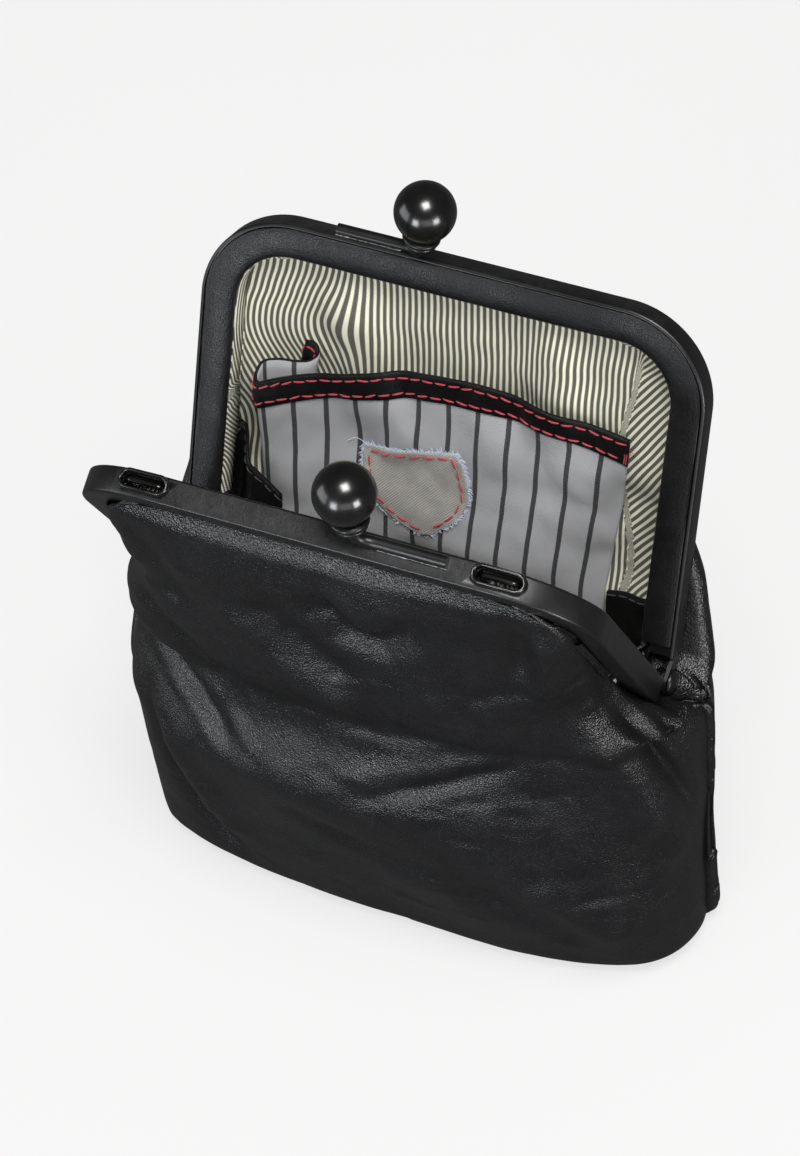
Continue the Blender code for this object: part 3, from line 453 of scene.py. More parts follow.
def striped_cloth(name, ground, line, pitch, width, twill_pitch, broken, shade=0.12):
    """Woven cloth with stripes along its length, and a diagonal twill that breaks the stripes."""
    look, across, down = cloth_look(name)
    twill = wave(look, look.math("MULTIPLY_ADD", down, 0.8, across), twill_pitch)
    thread = wave(look, look.math("MULTIPLY_ADD", across, 0.8, down), twill_pitch)
    gaps = look.clamp(look.math("MULTIPLY_ADD", thread, -broken, 1))
    mask = look.math("MULTIPLY", stripes(look, across, pitch, width), gaps)
    cloud, fuzz = look.noise(60, 5, 0.6), look.noise(2600, 2, 0.7)
    base = look.mix(cloud, tuple(c * (1 - shade) for c in ground), ground)
    base = look.mix(look.math("MULTIPLY", twill, 0.22), base, tuple(c * 0.45 for c in ground))
    look.bumps((cloud, 0.8 * MM, 0.25), (twill, 0.12 * MM, 0.45), (fuzz, 0.1 * MM, 0.3))
    return look.surface({
        "Base Color": look.mix(mask, base, line), "Roughness": 0.85, "Specular IOR Level": 0.2,
        "Sheen Weight": 0.04, "Sheen Roughness": 0.5,
    })


def cotton_material():
    look, across, down = cloth_look("patch_cotton_twill")
    twill = wave(look, look.math("MULTIPLY_ADD", down, 1.3, across), 0.9 * MM)
    cloud, fuzz = look.noise(160, 6, 0.65), look.noise(3000)
    tone = look.ramp(cloud, (0.3, (0.29, 0.281, 0.256)), (0.7, (0.42, 0.408, 0.372)))
    look.bumps((cloud, 0.5 * MM, 0.3), (twill, 0.18 * MM, 0.6), (fuzz, 0.1 * MM, 0.4))
    return look.surface({
        "Base Color": look.mix(look.math("MULTIPLY", twill, 0.55), tone, (0.13, 0.135, 0.145)),
        "Roughness": 0.9, "Specular IOR Level": 0.15,
    })


def thread_material(name, colour, rough=0.6):
    look = solid_look(name)
    strand = look.noise(2500)
    tone = look.ramp(strand, (0.35, tuple(c * 0.6 for c in colour)), (0.65, colour))
    look.bumps((strand, 0.12 * MM, 0.5))
    return look.surface({"Base Color": tone, "Roughness": rough, "Sheen Weight": 0.3})


def paper_material():
    look = solid_look("twisted_paper")
    fibre = look.noise(700, 4)
    look.bumps((fibre, 0.2 * MM, 0.5))
    tone = look.ramp(fibre, (0.3, (0.4, 0.33, 0.22)), (0.7, (0.55, 0.47, 0.34)))
    return look.surface({"Base Color": tone, "Roughness": 0.9})


LEATHER_LOOK = leather_material("black_nappa")
LIP_LOOK = leather_material("black_nappa_lip", 0.8, rough=0.4, light=0.0036, relief=0.18, gloss=0.4)
BAND_LOOK = leather_material(
    "black_nappa_band", 0.8, rough=0.5, dark=0.0014, light=0.0026, relief=0.3, gloss=0.2
)
PAINT = paint_material("black_satin_paint")
# Paint for the top of the bar: real scuffs, and a lighter tone there that is partly painted highlight from
# light falling on that top.
BAR_TOP_SCUFF_AND_HIGHLIGHT_PAINT = paint_material("black_bar_paint", rough=0.44, scuff_and_highlight=1)
ENAMEL = ball_material()
SOLDER = solder_material()
TICKING = striped_cloth(
    "ticking", (0.72, 0.71, 0.58), (0.012, 0.013, 0.01),
    pitch=1.62 * MM, width=0.9 * MM, twill_pitch=0.6 * MM, broken=0.22,
)
PINSTRIPE = striped_cloth(
    "pinstriped_twill", (0.335, 0.34, 0.355), (0.01, 0.01, 0.012),
    pitch=7.79 * MM, width=1.25 * MM, twill_pitch=0.55 * MM, broken=0.2, shade=0.16,
)
COTTON = cotton_material()
RED_THREAD = thread_material("red_thread", (0.42, 0.014, 0.03), 0.5)
BLUE_THREAD = thread_material("pale_blue_thread", (0.5, 0.56, 0.72), 0.8)
BLACK_THREAD = thread_material("black_thread", (0.02, 0.02, 0.022))
PAPER = paper_material()


# Mesh helpers
def put_mesh(name, verts, faces, look, uv=None, smooth_angle=None):
    mesh = bpy.data.meshes.new(name)
    mesh.from_pydata([tuple(v) for v in verts], [], faces)
    mesh.materials.append(look)
    if uv is not None:
        layer = mesh.uv_layers.new(name="cloth")
        index = np.zeros(len(mesh.loops), np.int32)
        mesh.loops.foreach_get("vertex_index", index)
        layer.data.foreach_set("uv", np.asarray(uv, np.float32)[index].ravel())
    mesh.shade_smooth()
    if smooth_angle:
        mesh.set_sharp_from_angle(angle=math.radians(smooth_angle))
    thing = bpy.data.objects.new(name, mesh)
    bpy.context.scene.collection.objects.link(thing)
    return thing


def ring_faces(rows, count, closed, start=0):
    """Quads between rings of points, with caps unless the sweep closes on itself."""
    faces = []
    for j in range(rows if closed else rows - 1):
        low, high = start + j * count, start + (j + 1) % rows * count
        for k in range(count):
            n = (k + 1) % count
            faces.append((low + k, high + k, high + n, low + n))
    if not closed:
        faces.append(tuple(start + k for k in range(count)))
        faces.append(tuple(start + (rows - 1) * count + k for k in reversed(range(count))))
    return faces


def clean(thing, shortest=None):
    """Turns a closed mesh's faces outward, after it dissolves edges shorter than a given length."""
    bm = bmesh.new()
    bm.from_mesh(thing.data)
    if shortest:
        bmesh.ops.dissolve_degenerate(bm, dist=shortest, edges=bm.edges)
    bmesh.ops.recalc_face_normals(bm, faces=bm.faces)
    bm.to_mesh(thing.data)
    bm.free()
    return thing


class Pile:
    """Points and faces of several closed bodies that make one piece."""

    def __init__(self):
        self.verts, self.faces = [], []

    def rings(self, rings, closed=False):
        start = len(self.verts)
        for ring in rings:
            self.verts.extend(ring)
        self.faces.extend(ring_faces(len(rings), len(rings[0]), closed, start))
        return self

    def piece(self, name, look, angle=40):
        return clean(put_mesh(name, self.verts, self.faces, look, None, angle))


def outline(inset, start, steps=CORNER_STEPS):
    """The U of a frame, moved in by an inset, with points close enough to bend and to wear."""
    radius = FRAME_CORNER - inset
    wide, high = HALF - FRAME_CORNER, FRAME_HEIGHT - FRAME_CORNER
    right = []
    leg = max(int((high - start) / BAR_STEP), 1)
    for k in range(leg):
        right.append((HALF - inset, mix(start, high, k / leg)))
    for k in range(steps + 1):
        turn = math.pi / 2 * k / steps
        right.append((wide + radius * math.cos(turn), high + radius * math.sin(turn)))
    bar = int(wide / BAR_STEP)
    for k in range(1, bar + 1):
        right.append((wide * (1 - k / bar), high + radius))
    return [(-x, up) for x, up in right] + right[-2::-1]


def sweep_rings(side, section, start):
    paths = [outline(inset, start) for inset, out in section]
    rings = []
    for k in range(len(paths[0])):
        rings.append([frame_point(side, *path[k], out) for path, (inset, out) in zip(paths, section)])
    return rings


def arc(centre, radius, first, last, steps):
    """Points of a round corner, with angles in degrees."""
    points = []
    for k in range(steps + 1):
        turn = math.radians(mix(first, last, k / steps))
        points.append((centre[0] + radius * math.cos(turn), centre[1] + radius * math.sin(turn)))
    return points


def frame_section():
    low, high, edge = GAP, FRAME_DEPTH, EDGE_ROUND
    tip = FLANGE_WALL / 2
    points = arc((edge, low + edge), edge, 270, 180, 4)
    points += arc((edge, high - edge), edge, 180, 90, 4)
    points += arc((FLANGE - tip, high - tip), tip, 90, -90, 6)
    points += [(WEB, CHANNEL_HIGH), (WEB, CHANNEL_LOW), (FLANGE, CHANNEL_LOW)]
    points += [(FLANGE, low + LIP_RECESS), (WEB - GAP / 2, low + LIP_RECESS), (WEB - GAP / 2, low)]
    return points


def layer(order):
    """How far from the middle each piece of the hinge stack starts and ends along X."""
    tab_out = HALF - GAP / 6
    tab_in = tab_out - EYE_WALL
    washer_in = tab_in - GAP - WASHER_WALL
    front_out = washer_in - GAP
    front_in = front_out - EYE_WALL
    tail_out = front_in - GAP
    return {
        "head": (tab_out + GAP, tab_out + GAP + RIVET_DOME),
        "rear": (tab_in, tab_out),
        "front": (front_in, front_out),
        "tail": (tail_out - RIVET_TAIL_WALL, tail_out),
    }[order]


def eye_outline(root_up, root_low, root_high):
    points = [(root_up, root_high), (root_up, root_low)]
    for k in range(33):
        turn = math.radians(mix(150, 330, k / 32))
        points.append((EYE_RADIUS * math.sin(turn), EYE_RADIUS * math.cos(turn)))
    return points


def bar_top(x):
    past = max(abs(x) - (HALF - FRAME_CORNER), 0)
    return FRAME_HEIGHT - FRAME_CORNER + math.sqrt(FRAME_CORNER**2 - past**2)


def slot_ring(place, rise, length, width, steps=14):
    points = []
    straight = (length - width) / 2
    for end in (1, -1):
        for k in range(steps + 1):
            turn = math.pi * k / steps - math.pi / 2
            x = place + end * (straight + width / 2 * math.cos(turn))
            out = SLOT_OUT + end * width / 2 * math.sin(turn)
            points.append(frame_point(FRONT, x, bar_top(x) + rise, out))
    return points


def settle(thing):
    """Applies the modifiers of a piece to its mesh."""
    bpy.context.view_layer.update()
    depsgraph = bpy.context.evaluated_depsgraph_get()
    made = bpy.data.meshes.new_from_object(thing.evaluated_get(depsgraph))
    thing.modifiers.clear()
    thing.data = made
    return thing


def cut(thing, rings):
    cutter = Pile().rings(rings).piece("slot_cutter", PAINT)
    difference = thing.modifiers.new("slot", "BOOLEAN")
    difference.operation = "DIFFERENCE"
    difference.object = cutter
    settle(thing)
    bpy.data.objects.remove(cutter, do_unlink=True)


def paint_bar_top_scuffs_and_highlight(thing, side):
    """Gives the upward-facing top of the bar its own paint: rougher, with more scuffs, and lighter in its
    scuff patches, which paints in part the highlight that light from above gives that top.
    """
    thing.data.materials.append(BAR_TOP_SCUFF_AND_HIGHLIGHT_PAINT)
    top = frame_way(side, 1, 0).normalized()
    for face in thing.data.polygons:
        if face.normal.dot(top) > 0.9 and abs(face.center.x) < HALF - FRAME_CORNER / 2:
            face.material_index = 1


def build_frames():
    """Channels bent to a U, with eyes at their legs and, in front, slots in the bar."""
    for side, label, body in HALVES:
        pile = Pile().rings(sweep_rings(side, frame_section(), LEG_END))
        low, high = layer(label)
        for sign in (-1, 1):
            if side == REAR:
                points = eye_outline(LEG_END + EYE_ROOT, GAP + EDGE_ROUND, FRAME_DEPTH - EDGE_ROUND)
                points.insert(2, (LEG_END - 2 * GAP, GAP + EDGE_ROUND))
            else:
                root = LEG_END + 2 * EYE_ROOT
                points = eye_outline(root, CHANNEL_LOW + GAP, CHANNEL_HIGH - GAP)
                block = [(LEG_END + EYE_ROOT, CHANNEL_LOW + GAP), (root, CHANNEL_LOW + GAP)]
                block += [(up, CHANNEL_HIGH - GAP) for up, out in block[::-1]]
                edges = (sign * mix(low, high, 0.5), sign * (HALF - WEB / 2))
                pile.rings([[frame_point(side, x, up, out) for up, out in block] for x in edges])
            edges = (sign * low, sign * high)
            pile.rings([[frame_point(side, x, up, out) for up, out in points] for x in edges])
        thing = pile.piece(label + "_frame_channel", PAINT, 35)
        if side == FRONT:
            for sign in (-1, 1):
                place = sign * SLOT_PLACE
                cut(thing, [slot_ring(place, rise, SLOT_LENGTH, SLOT_WIDTH) for rise in (-2 * WEB, WEB)])
        paint_bar_top_scuffs_and_highlight(thing, side)
        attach(thing, body)
        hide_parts(label + "_frame")


def spokes(middle, across, other, radius, steps):
    turns = [2 * math.pi * k / steps for k in range(steps)]
    return [middle + (across * math.cos(t) + other * math.sin(t)) * radius for t in turns]


def turned_rings(profile, origin, axis, steps=56):
    axis = axis.normalized()
    across = axis.orthogonal().normalized()
    other = axis.cross(across)
    return [spokes(origin + axis * distance, across, other, radius, steps) for distance, radius in profile]


def tube_rings(route, radius, sides=20):
    """Rings of a round wire; a radius may be a list with one for each point."""
    ways = [(b - a).normalized() for a, b in zip(route, route[1:])]
    ways = [ways[0]] + [(a + b).normalized() for a, b in zip(ways, ways[1:])] + [ways[-1]]
    radii = radius if isinstance(radius, list) else [radius] * len(route)
    across = ways[0].orthogonal().normalized()
    rings = []
    for place, way, wide in zip(route, ways, radii):
        across = (across - way * across.dot(way)).normalized()
        rings.append(spokes(place, across, way.cross(across), wide, sides))
    return rings


def ball_place(side):
    sign = 1 if side == FRONT else -1
    lean = FRONT_BALL_LEAN if side == FRONT else REAR_BALL_LEAN
    ball = frame_point(side, sign * BALL_PLACE, FRAME_HEIGHT + BALL_HEIGHT, -BALL_OVERREACH)
    flat = frame_way(side, -math.cos(lean), math.sin(lean)).normalized()
    down = flat * math.cos(BALL_SWAY) + Vector((sign * math.sin(BALL_SWAY), 0, 0))
    return ball, down


def stem_route(side):
    sign = 1 if side == FRONT else -1
    ball, down = ball_place(side)
    reach = BALL_RADIUS + GAP + COLLAR_LENGTH + GAP
    level = FRAME_HEIGHT + STEM_RISE
    foot = ball + down * reach
    end = frame_point(side, sign * (BALL_PLACE + STEM_REACH), level, STEM_OUT)
    start = frame_point(side, sign * (BALL_PLACE + STEM_BEND), level, STEM_OUT)
    anchors = (start, start - Vector((sign * STEM_PULL, 0, 0)), foot + down * STEM_FALL, foot)
    route = [end.lerp(start, k / STEM_STEPS) for k in range(STEM_STEPS + 1)]
    for k in range(1, 2 * STEM_STEPS + 1):
        t = k / (2 * STEM_STEPS)
        pull = ((1 - t) ** 3, 3 * t * (1 - t) ** 2, 3 * t * t * (1 - t), t**3)
        route.append(sum((a * w for a, w in zip(anchors, pull)), Vector()))
    return route


# Beads of the turned collar: middle along it, radius and half-length, as shares
COLLAR_BEAD_SHARES = ((0.36, 1, 0.2), (0.72, 0.86, 0.17))
COLLAR_START_SHARE, COLLAR_NECK_SHARE, COLLAR_FOOT_SHARE = 0.86, 0.6, 1.35
TURNED_CORE = 0.2 * MM
SEAM_OUT_SHARE = 0.93
SOLDER_ROUGHNESS = 900
BLOB_STATION = 13
BLOB_DOWN, BLOB_IN = 1.9 * MM, 0.6 * MM
BLOB_PROFILE_MM = ((-0.6, 0.2), (-0.35, 1.1), (0, 1.5), (0.4, 1), (0.6, 0.2))


def ball_profile(steps=40):
    turns = [math.pi * mix(0.004, 0.996, k / steps) for k in range(steps + 1)]
    return [(-BALL_RADIUS * math.cos(t), BALL_RADIUS * math.sin(t)) for t in turns]


def collar_profile():
    start, end = BALL_RADIUS * COLLAR_START_SHARE, BALL_RADIUS + GAP + COLLAR_LENGTH
    profile = [(start, TURNED_CORE), (start, COLLAR_RADIUS * COLLAR_NECK_SHARE)]
    for middle_share, radius_share, height_share in COLLAR_BEAD_SHARES:
        middle, bead = mix(start, end, middle_share), (end - start) * height_share
        for angle in range(-80, 81, 20):
            turn = math.radians(angle)
            radius = COLLAR_RADIUS * radius_share - bead * (1 - math.cos(turn))
            profile.append((middle + bead * math.sin(turn), radius))
    foot = [(end, STEM_RADIUS * COLLAR_FOOT_SHARE), (end + GAP, STEM_RADIUS), (end + GAP, TURNED_CORE)]
    return profile + foot


def solder_seams(side, route):
    """Uneven solder along both sides of the rod's flat, and a drop at the rear rod's bend."""
    seams = Pile()
    for edge in (-1, 1):
        shift = frame_way(side, -STEM_RISE, edge * STEM_RADIUS * SEAM_OUT_SHARE)
        line, radii = [], []
        for point in route[:STEM_STEPS + 1]:
            wobble = noise.noise(point * SOLDER_ROUGHNESS + Vector((edge, 0, 0)))
            line.append(point + shift)
            radii.append(SEAM_BEAD * (0.8 + 0.5 * wobble))
        seams.rings(tube_rings(line, radii, 10))
    if side == REAR:
        spot = route[BLOB_STATION] + frame_way(side, -BLOB_DOWN, -BLOB_IN)
        blob = [(high * MM, radius * MM) for high, radius in BLOB_PROFILE_MM]
        seams.rings(turned_rings(blob, spot, Vector((0, 0, 1)), 24))
    return seams


def build_clasps():
    """Balls, turned collars and bent rods, with the solder that holds the rods to the bars."""
    for side, label, body in HALVES:
        ball, down = ball_place(side)
        route = stem_route(side)
        sphere = Pile().rings(turned_rings(ball_profile(), ball, down, 72))
        sphere = sphere.piece(label + "_clasp_ball", ENAMEL, 80)
        collar = Pile().rings(turned_rings(collar_profile(), ball, down))
        collar = collar.piece(label + "_clasp_collar", PAINT, 60)
        rod = Pile().rings(tube_rings(route, STEM_RADIUS, 24)).piece(label + "_clasp_rod", PAINT, 50)
        bead = solder_seams(side, route).piece(label + "_solder_bead", SOLDER, 80)
        for thing in (sphere, collar, rod, bead):
            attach(thing, body)
        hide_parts(label + "_ball")
        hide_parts(label + "_collar")
        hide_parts(label + "_stem")


def build_hinges():
    line = Vector((0, 0, HINGE_HEIGHT))
    for sign, label in ENDS:
        head_low = layer("head")[0]
        tail_low, tail_high = layer("tail")
        profile = [(tail_low, RIVET_CORE), (tail_low, RIVET_TAIL), (tail_high, RIVET_TAIL)]
        profile += [(tail_high, RIVET_RADIUS), (head_low, RIVET_RADIUS), (head_low, RIVET_HEAD)]
        for k in range(11):
            turn = math.pi / 2 * k / 10
            rise = mix(RIVET_DOME / 4, RIVET_DOME, math.sin(turn))
            profile.append((head_low + rise, max(RIVET_HEAD * math.cos(turn), RIVET_CORE)))
        rivet = Pile().rings(turned_rings(profile, line, Vector((sign, 0, 0)), 48))
        rivet = rivet.piece("hinge_rivet_dome_" + label, PAINT, 50)
        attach(rivet, "rear_half")
        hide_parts("hinge_rivet_" + label)


def rounded(points, radius, steps=8):
    route = [points[0]]
    for before, corner, after in zip(points, points[1:], points[2:]):
        start = corner + (before - corner).normalized() * radius
        end = corner + (after - corner).normalized() * radius
        for k in range(steps + 1):
            t = k / steps
            route.append(start * (1 - t) ** 2 + corner * 2 * t * (1 - t) + end * t * t)
    return route + [points[-1]]


def build_strap_eyes():
    """Oval rims pressed into the slots, and the wire loops in them."""
    for sign, label in ENDS:
        rings = []
        steps = 12
        for part in range(steps + 1):
            turn = math.pi * part / steps
            spread = EYELET_WALL * (1 - math.cos(turn))
            rise = GAP / 2 + EYELET_RISE * math.sin(turn) ** 0.75
            length, width = SLOT_LENGTH + spread, SLOT_WIDTH + spread
            rings.append(slot_ring(sign * SLOT_PLACE, rise, length, width))
        rim = Pile().rings(rings, closed=True).piece("strap_eye_rim_" + label, ENAMEL, 70)
        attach(rim, "front_half")
        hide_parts("strap_eyelet_" + label)
        top = FRAME_HEIGHT - LOOP_WIRE
        foot = top - LOOP_DROP
        half = LOOP_WIDTH / 2 - LOOP_WIRE
        places = [(-half - LOOP_FOOT, foot), (-half, foot), (-half, top), (half, top), (half, foot)]
        places.append((half + LOOP_FOOT, foot))
        points = [frame_point(FRONT, sign * SLOT_PLACE + x, up, SLOT_OUT) for x, up in places]
        wire = Pile().rings(tube_rings(rounded(points, LOOP_BEND), LOOP_WIRE, 16))
        wire = wire.piece("strap_loop_wire_" + label, ENAMEL, 60)
        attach(wire, label + "_loop")
        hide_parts("strap_loop_" + label)


LIP_WAVES = ((70, 0.14 * MM), (260, 0.03 * MM))
LIP_STANDOFF = 0.1 * MM


def build_lips():
    """Padded leather over each inner flange, rolled in at its free edge."""
    start = WEB + GAP / 2
    end = WEB + GAP + LIP_WIDTH
    face = GAP * 0.3
    for side, label, body in HALVES:
        section = [(start + GAP, GAP + LIP_RECESS * 0.8), (start, GAP + LIP_RECESS * 0.7)]
        for k in range(17):
            turn = math.radians(mix(-165, 35, k / 16))
            out = 0.5 * (1 + math.sin(turn))
            across = mix(start, end, 0.5 * (1 + math.cos(turn)))
            section.append((across, face + (LIP_PUFF - face) * (0.62 if k < 6 else 1) * out))
        section += [(FLANGE + 2 * GAP, GAP + LIP_PUFF), (FLANGE + GAP, GAP + LIP_RECESS * 0.8)]
        rings = sweep_rings(side, section, LIP_START)
        inward = frame_way(side, 0, 1).normalized()
        for ring in rings:
            for k in range(3, len(ring) - 3):
                wobble = sum(noise.noise(ring[k] * scale) * height for scale, height in LIP_WAVES)
                ring[k] = ring[k] + inward * (wobble + LIP_STANDOFF)
        thing = Pile().rings(rings).piece(label + "_lip_roll", LIP_LOOK, 60)
        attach(thing, body)
        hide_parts(label + "_lip")


# The skin that leather and lining share
def hem_half(up):
    top, radius = FRAME_HEIGHT - FRAME_CORNER, FRAME_CORNER - (HALF - HEM_HALF)
    if up <= top:
        return HEM_HALF, (1, 0)
    rise = min((up - top) / radius, 1)
    reach = math.sqrt(1 - rise * rise)
    return HALF - FRAME_CORNER + radius * reach, (reach, rise)


def level_lean(up):
    return OPEN_EACH * smooth((up + SEAM_DROP) / LEVEL_RISE)


def upper_place(side, x, up, out, centre):
    near = OPEN_EACH * smooth((up + SEAM_DROP) / (SEAM_DROP + HEM_START))
    lean = mix(near, level_lean(up), smooth((out - centre) / LEVEL_REACH))
    y, z = rise_at(up)
    return Vector((x, side * (y + out * math.cos(lean)), HINGE_HEIGHT + z - out * math.sin(lean)))


def spaced(points, count):
    lengths = [0]
    for a, b in zip(points, points[1:]):
        lengths.append(lengths[-1] + math.hypot(b[0] - a[0], b[1] - a[1]))
    found, k = [], 0
    for n in range(count + 1):
        target = lengths[-1] * (n / count) ** SPREAD_SHARE
        while k < len(points) - 2 and lengths[k + 1] < target:
            k += 1
        share = (target - lengths[k]) / max(lengths[k + 1] - lengths[k], GAP / 1000)
        (x, out), (next_x, next_out) = points[k], points[k + 1]
        found.append((mix(x, next_x, share), mix(out, next_out, share)))
    return found


def bow(widest, centre, rise, power):
    points = []
    for k in range(91):
        turn = math.pi / 2 * k / 90
        x = widest * max(math.cos(turn), 0) ** (2 / power) if k < 90 else 0
        points.append((x, centre + rise * math.sin(turn) ** (2 / power)))
    return spaced(points, COLUMNS)


def rolled(start, widest, low):
    radius = min(ROLL, widest - start)
    points = [(mix(start, widest - radius, k / UNDER_STEPS), low) for k in range(UNDER_STEPS)]
    for k in range(ROLL_STEPS + 1 - UNDER_STEPS):
        turn = math.pi / 2 * k / (ROLL_STEPS + 1 - UNDER_STEPS)
        points.append((widest - radius + radius * math.sin(turn), low + radius * (1 - math.cos(turn))))
    return points, low + radius


def upper_row(side, up):
    """One row of the skin above the seams: its turned edge, its bow and its other edge."""
    hem, way = hem_half(up)
    share = (up + SEAM_DROP) / (HEM_TOP + SEAM_DROP)
    raised = smooth((up + SEAM_DROP) / (SEAM_DROP + HEM_START))
    drawn = smooth((up + NOTCH_LOW) / (NOTCH_HIGH + NOTCH_LOW))
    tucked = smooth((up - HEM_OVER) / (HEM_IN - HEM_OVER))
    waist = FRONT_WAIST_DEPTH if side == FRONT else REAR_WAIST_DEPTH
    depth = mix(HEM_DEPTH_AT_BAR, waist, along(UPPER_STATION_SHARES, UPPER_DEPTH_SHARES, share))
    power = mix(2.2, 3.2, smooth(2 * share - 1))
    over = [along(OVER_STATION_SHARES, LOOSE_OVER_SHARES, up / FRAME_HEIGHT)] * 2
    if side == FRONT:
        over[1] = along(OVER_STATION_SHARES, TIGHT_OVER_SHARES, up / FRAME_HEIGHT)
    halves = []
    for sign, spread in zip((-1, 1), over):
        widest = mix(hem, WAIST_HALF, spread)
        widest = max(widest, hem + GAP)
        start = mix(widest - GAP, hem, drawn)
        under, level = rolled(start, widest, mix(GAP / 2, FRAME_DEPTH + GAP, raised))
        points = under + bow(widest, level, max(depth - level, GAP), power)
        bows = [upper_place(side, sign * x, up, out, level) for x, out in points]
        turn = math.pi * (1 - tucked)
        edge = (sign * points[0][0], mix(points[0][1], HEM_LEVEL, tucked))
        flaps = []
        for length in (mix(SEAM_TURN, HEM_DEPTH, tucked), SEAM_CREASE * (1 - tucked)):
            x = edge[0] + sign * length * math.cos(turn) * way[0]
            high = up + length * way[1] * math.cos(turn)
            flaps.append(upper_place(side, x, high, edge[1] - length * math.sin(turn), level))
        halves.append(flaps + bows)
    left, right = halves
    return left + right[-2::-1]


def seam_place(x, height):
    share = (x / HALF + 1) / 2
    return mix(LEFT_SEAM_SHIFT, RIGHT_SEAM_SHIFT, share) * smooth((SEAM_TOP - height) / SEAM_SHIFT_DROP)


def lower_bows(side, height):
    foot = FRONT_FOOT_DEPTH if side == FRONT else REAR_FOOT_DEPTH
    skew = FRONT_SKEW_SHARE if side == FRONT else REAR_SKEW_SHARE
    share = max((height - FOOT_ROUND) / (SEAM_TOP - FOOT_ROUND), 0)
    waist = FRONT_WAIST_DEPTH if side == FRONT else REAR_WAIST_DEPTH
    depth = mix(foot, waist, along(LOWER_STATION_SHARES, LOWER_DEPTH_SHARES, share))
    skew *= smooth(1.2 * (1 - share))
    power = mix(2.9, 2.2, smooth(share * 1.5))
    halves = []
    for sign, foot_half in ((-1, LEFT_FOOT_HALF), (1, RIGHT_FOOT_HALF)):
        widest = mix(WAIST_HALF, foot_half, smooth(1.4 * (1 - share)))
        points = bow(widest, GAP / 2, depth - GAP / 2, power)
        row = [(sign * x, out) for x, out in [points[0]] * (ROLL_STEPS + 1) + points]
        halves.append([(x, GAP / 2 + (out - GAP / 2) * (1 + skew * x / HALF)) for x, out in row])
    return halves


def lower_row(side, height, turn=0):
    """One row below the seams' top, or round the foot's edge when it has a turn."""
    reach = FOOT_ROUND * (1 - math.cos(turn))
    level = height if turn == 0 else FOOT_ROUND * (1 - math.sin(turn))
    row = []
    for sign, half in zip((-1, 1), lower_bows(side, height)):
        far, deep = abs(half[0][0]), max(out for x, out in half)
        points = []
        for x, out in half:
            pulled = x * (1 - reach / far)
            outward = GAP / 2 + (out - GAP / 2) * (1 - reach / deep)
            points.append(Vector((pulled, seam_place(pulled, height) + side * outward, level)))
        flaps = []
        for length in (SEAM_TURN, SEAM_CREASE):
            flaps.append(points[0] + Vector((-sign * length * math.cos(turn), 0, length * math.sin(turn))))
        points = flaps + points
        row = points if sign < 0 else row + points[-2::-1]
    return row


def skin_rows(side):
    """Rows of the whole skin, from the middle of the floor up to the bar's hem."""
    edge_row = lower_row(side, FOOT_ROUND, math.pi / 2)
    floor = []
    for j in range(FLOOR_ROWS, 0, -1):
        row = []
        for point in edge_row:
            seam = seam_place(point.x, FOOT_ROUND) + side * GAP / 2
            row.append(Vector((point.x, mix(point.y, seam, j / FLOOR_ROWS), point.z)))
        floor.append(row)
    flap = [point + Vector((0, 0, SEAM_CREASE)) for point in floor[0]]
    rows = [flap] + floor + [edge_row]
    rows += [lower_row(side, FOOT_ROUND, math.pi / 2 * j / FOOT_ROWS) for j in range(FOOT_ROWS - 1, 0, -1)]
    rows += [lower_row(side, mix(FOOT_ROUND, SEAM_TOP, j / SEAM_ROWS)) for j in range(SEAM_ROWS)]
    rows += [upper_row(side, mix(-SEAM_DROP, HEM_TOP, (j / UPPER_ROWS))) for j in range(UPPER_ROWS + 1)]
    return np.array([[tuple(point) for point in row] for row in rows])


def grid_normals(grid, side):
    down = np.gradient(grid, axis=0)
    across = np.gradient(grid, axis=1)
    normals = np.cross(across, down)
    lengths = np.linalg.norm(normals, axis=2, keepdims=True)
    normals = normals / np.maximum(lengths, 1e-12)
    middle = normals[normals.shape[0] // 2, normals.shape[1] // 2]
    if middle[1] * side < 0:
        normals = -normals
    return normals


def edge_distance(grid):
    """How far each point of a grid is from the ends of its row."""
    near, far = (np.linalg.norm(grid - ends, axis=2) for ends in (grid[:, :1], grid[:, -1:]))
    return np.minimum(near, far)


def bell(values):
    return np.exp(-(values**2))


def eased(values):
    values = np.clip(values, 0, 1)
    return values**2 * (3 - 2 * values)


BESIDE_RISE = 2 * MM
EVEN_NORMALS_SPAN, EVEN_SKIN_SPAN = 10 * MM, 12 * MM


def even_normals(grid, side, rounds):
    """Normals of a grid, evened out beside the hinges."""
    plain = grid_normals(grid, side)
    beside = bell((grid[..., 2:] - HINGE_HEIGHT - BESIDE_RISE) / EVEN_NORMALS_SPAN)
    normals = plain
    for _ in range(rounds):
        wide = np.pad(normals, ((1, 1), (1, 1), (0, 0)), mode="edge")
        normals = normals + wide[:-2, 1:-1] + wide[2:, 1:-1] + wide[1:-1, :-2] + wide[1:-1, 2:]
        normals /= np.maximum(np.linalg.norm(normals, axis=2, keepdims=True), 1e-12)
    return plain + (normals - plain) * beside


def blurred(grid, rounds, keep=3):
    """Evens out a grid of points or values, but for its border."""
    made = grid.copy()
    for _ in range(rounds):
        inner = made[1:-1, 1:-1]
        around = (made[:-2, 1:-1] + made[2:, 1:-1] + made[1:-1, :-2] + made[1:-1, 2:]) / 4
        made[keep:-keep, keep:-keep] = (inner + (around - inner) * 0.6)[keep - 1:1 - keep, keep - 1:1 - keep]
    return made


def lowest(values, rounds):
    """Spreads each hollow of a grid of heights to its neighbours."""
    for _ in range(rounds):
        made = values.copy()
        made[1:] = np.minimum(made[1:], values[:-1])
        made[:-1] = np.minimum(made[:-1], values[1:])
        made[:, 1:] = np.minimum(made[:, 1:], values[:, :-1])
        made[:, :-1] = np.minimum(made[:, :-1], values[:, 1:])
        values = made
    return values


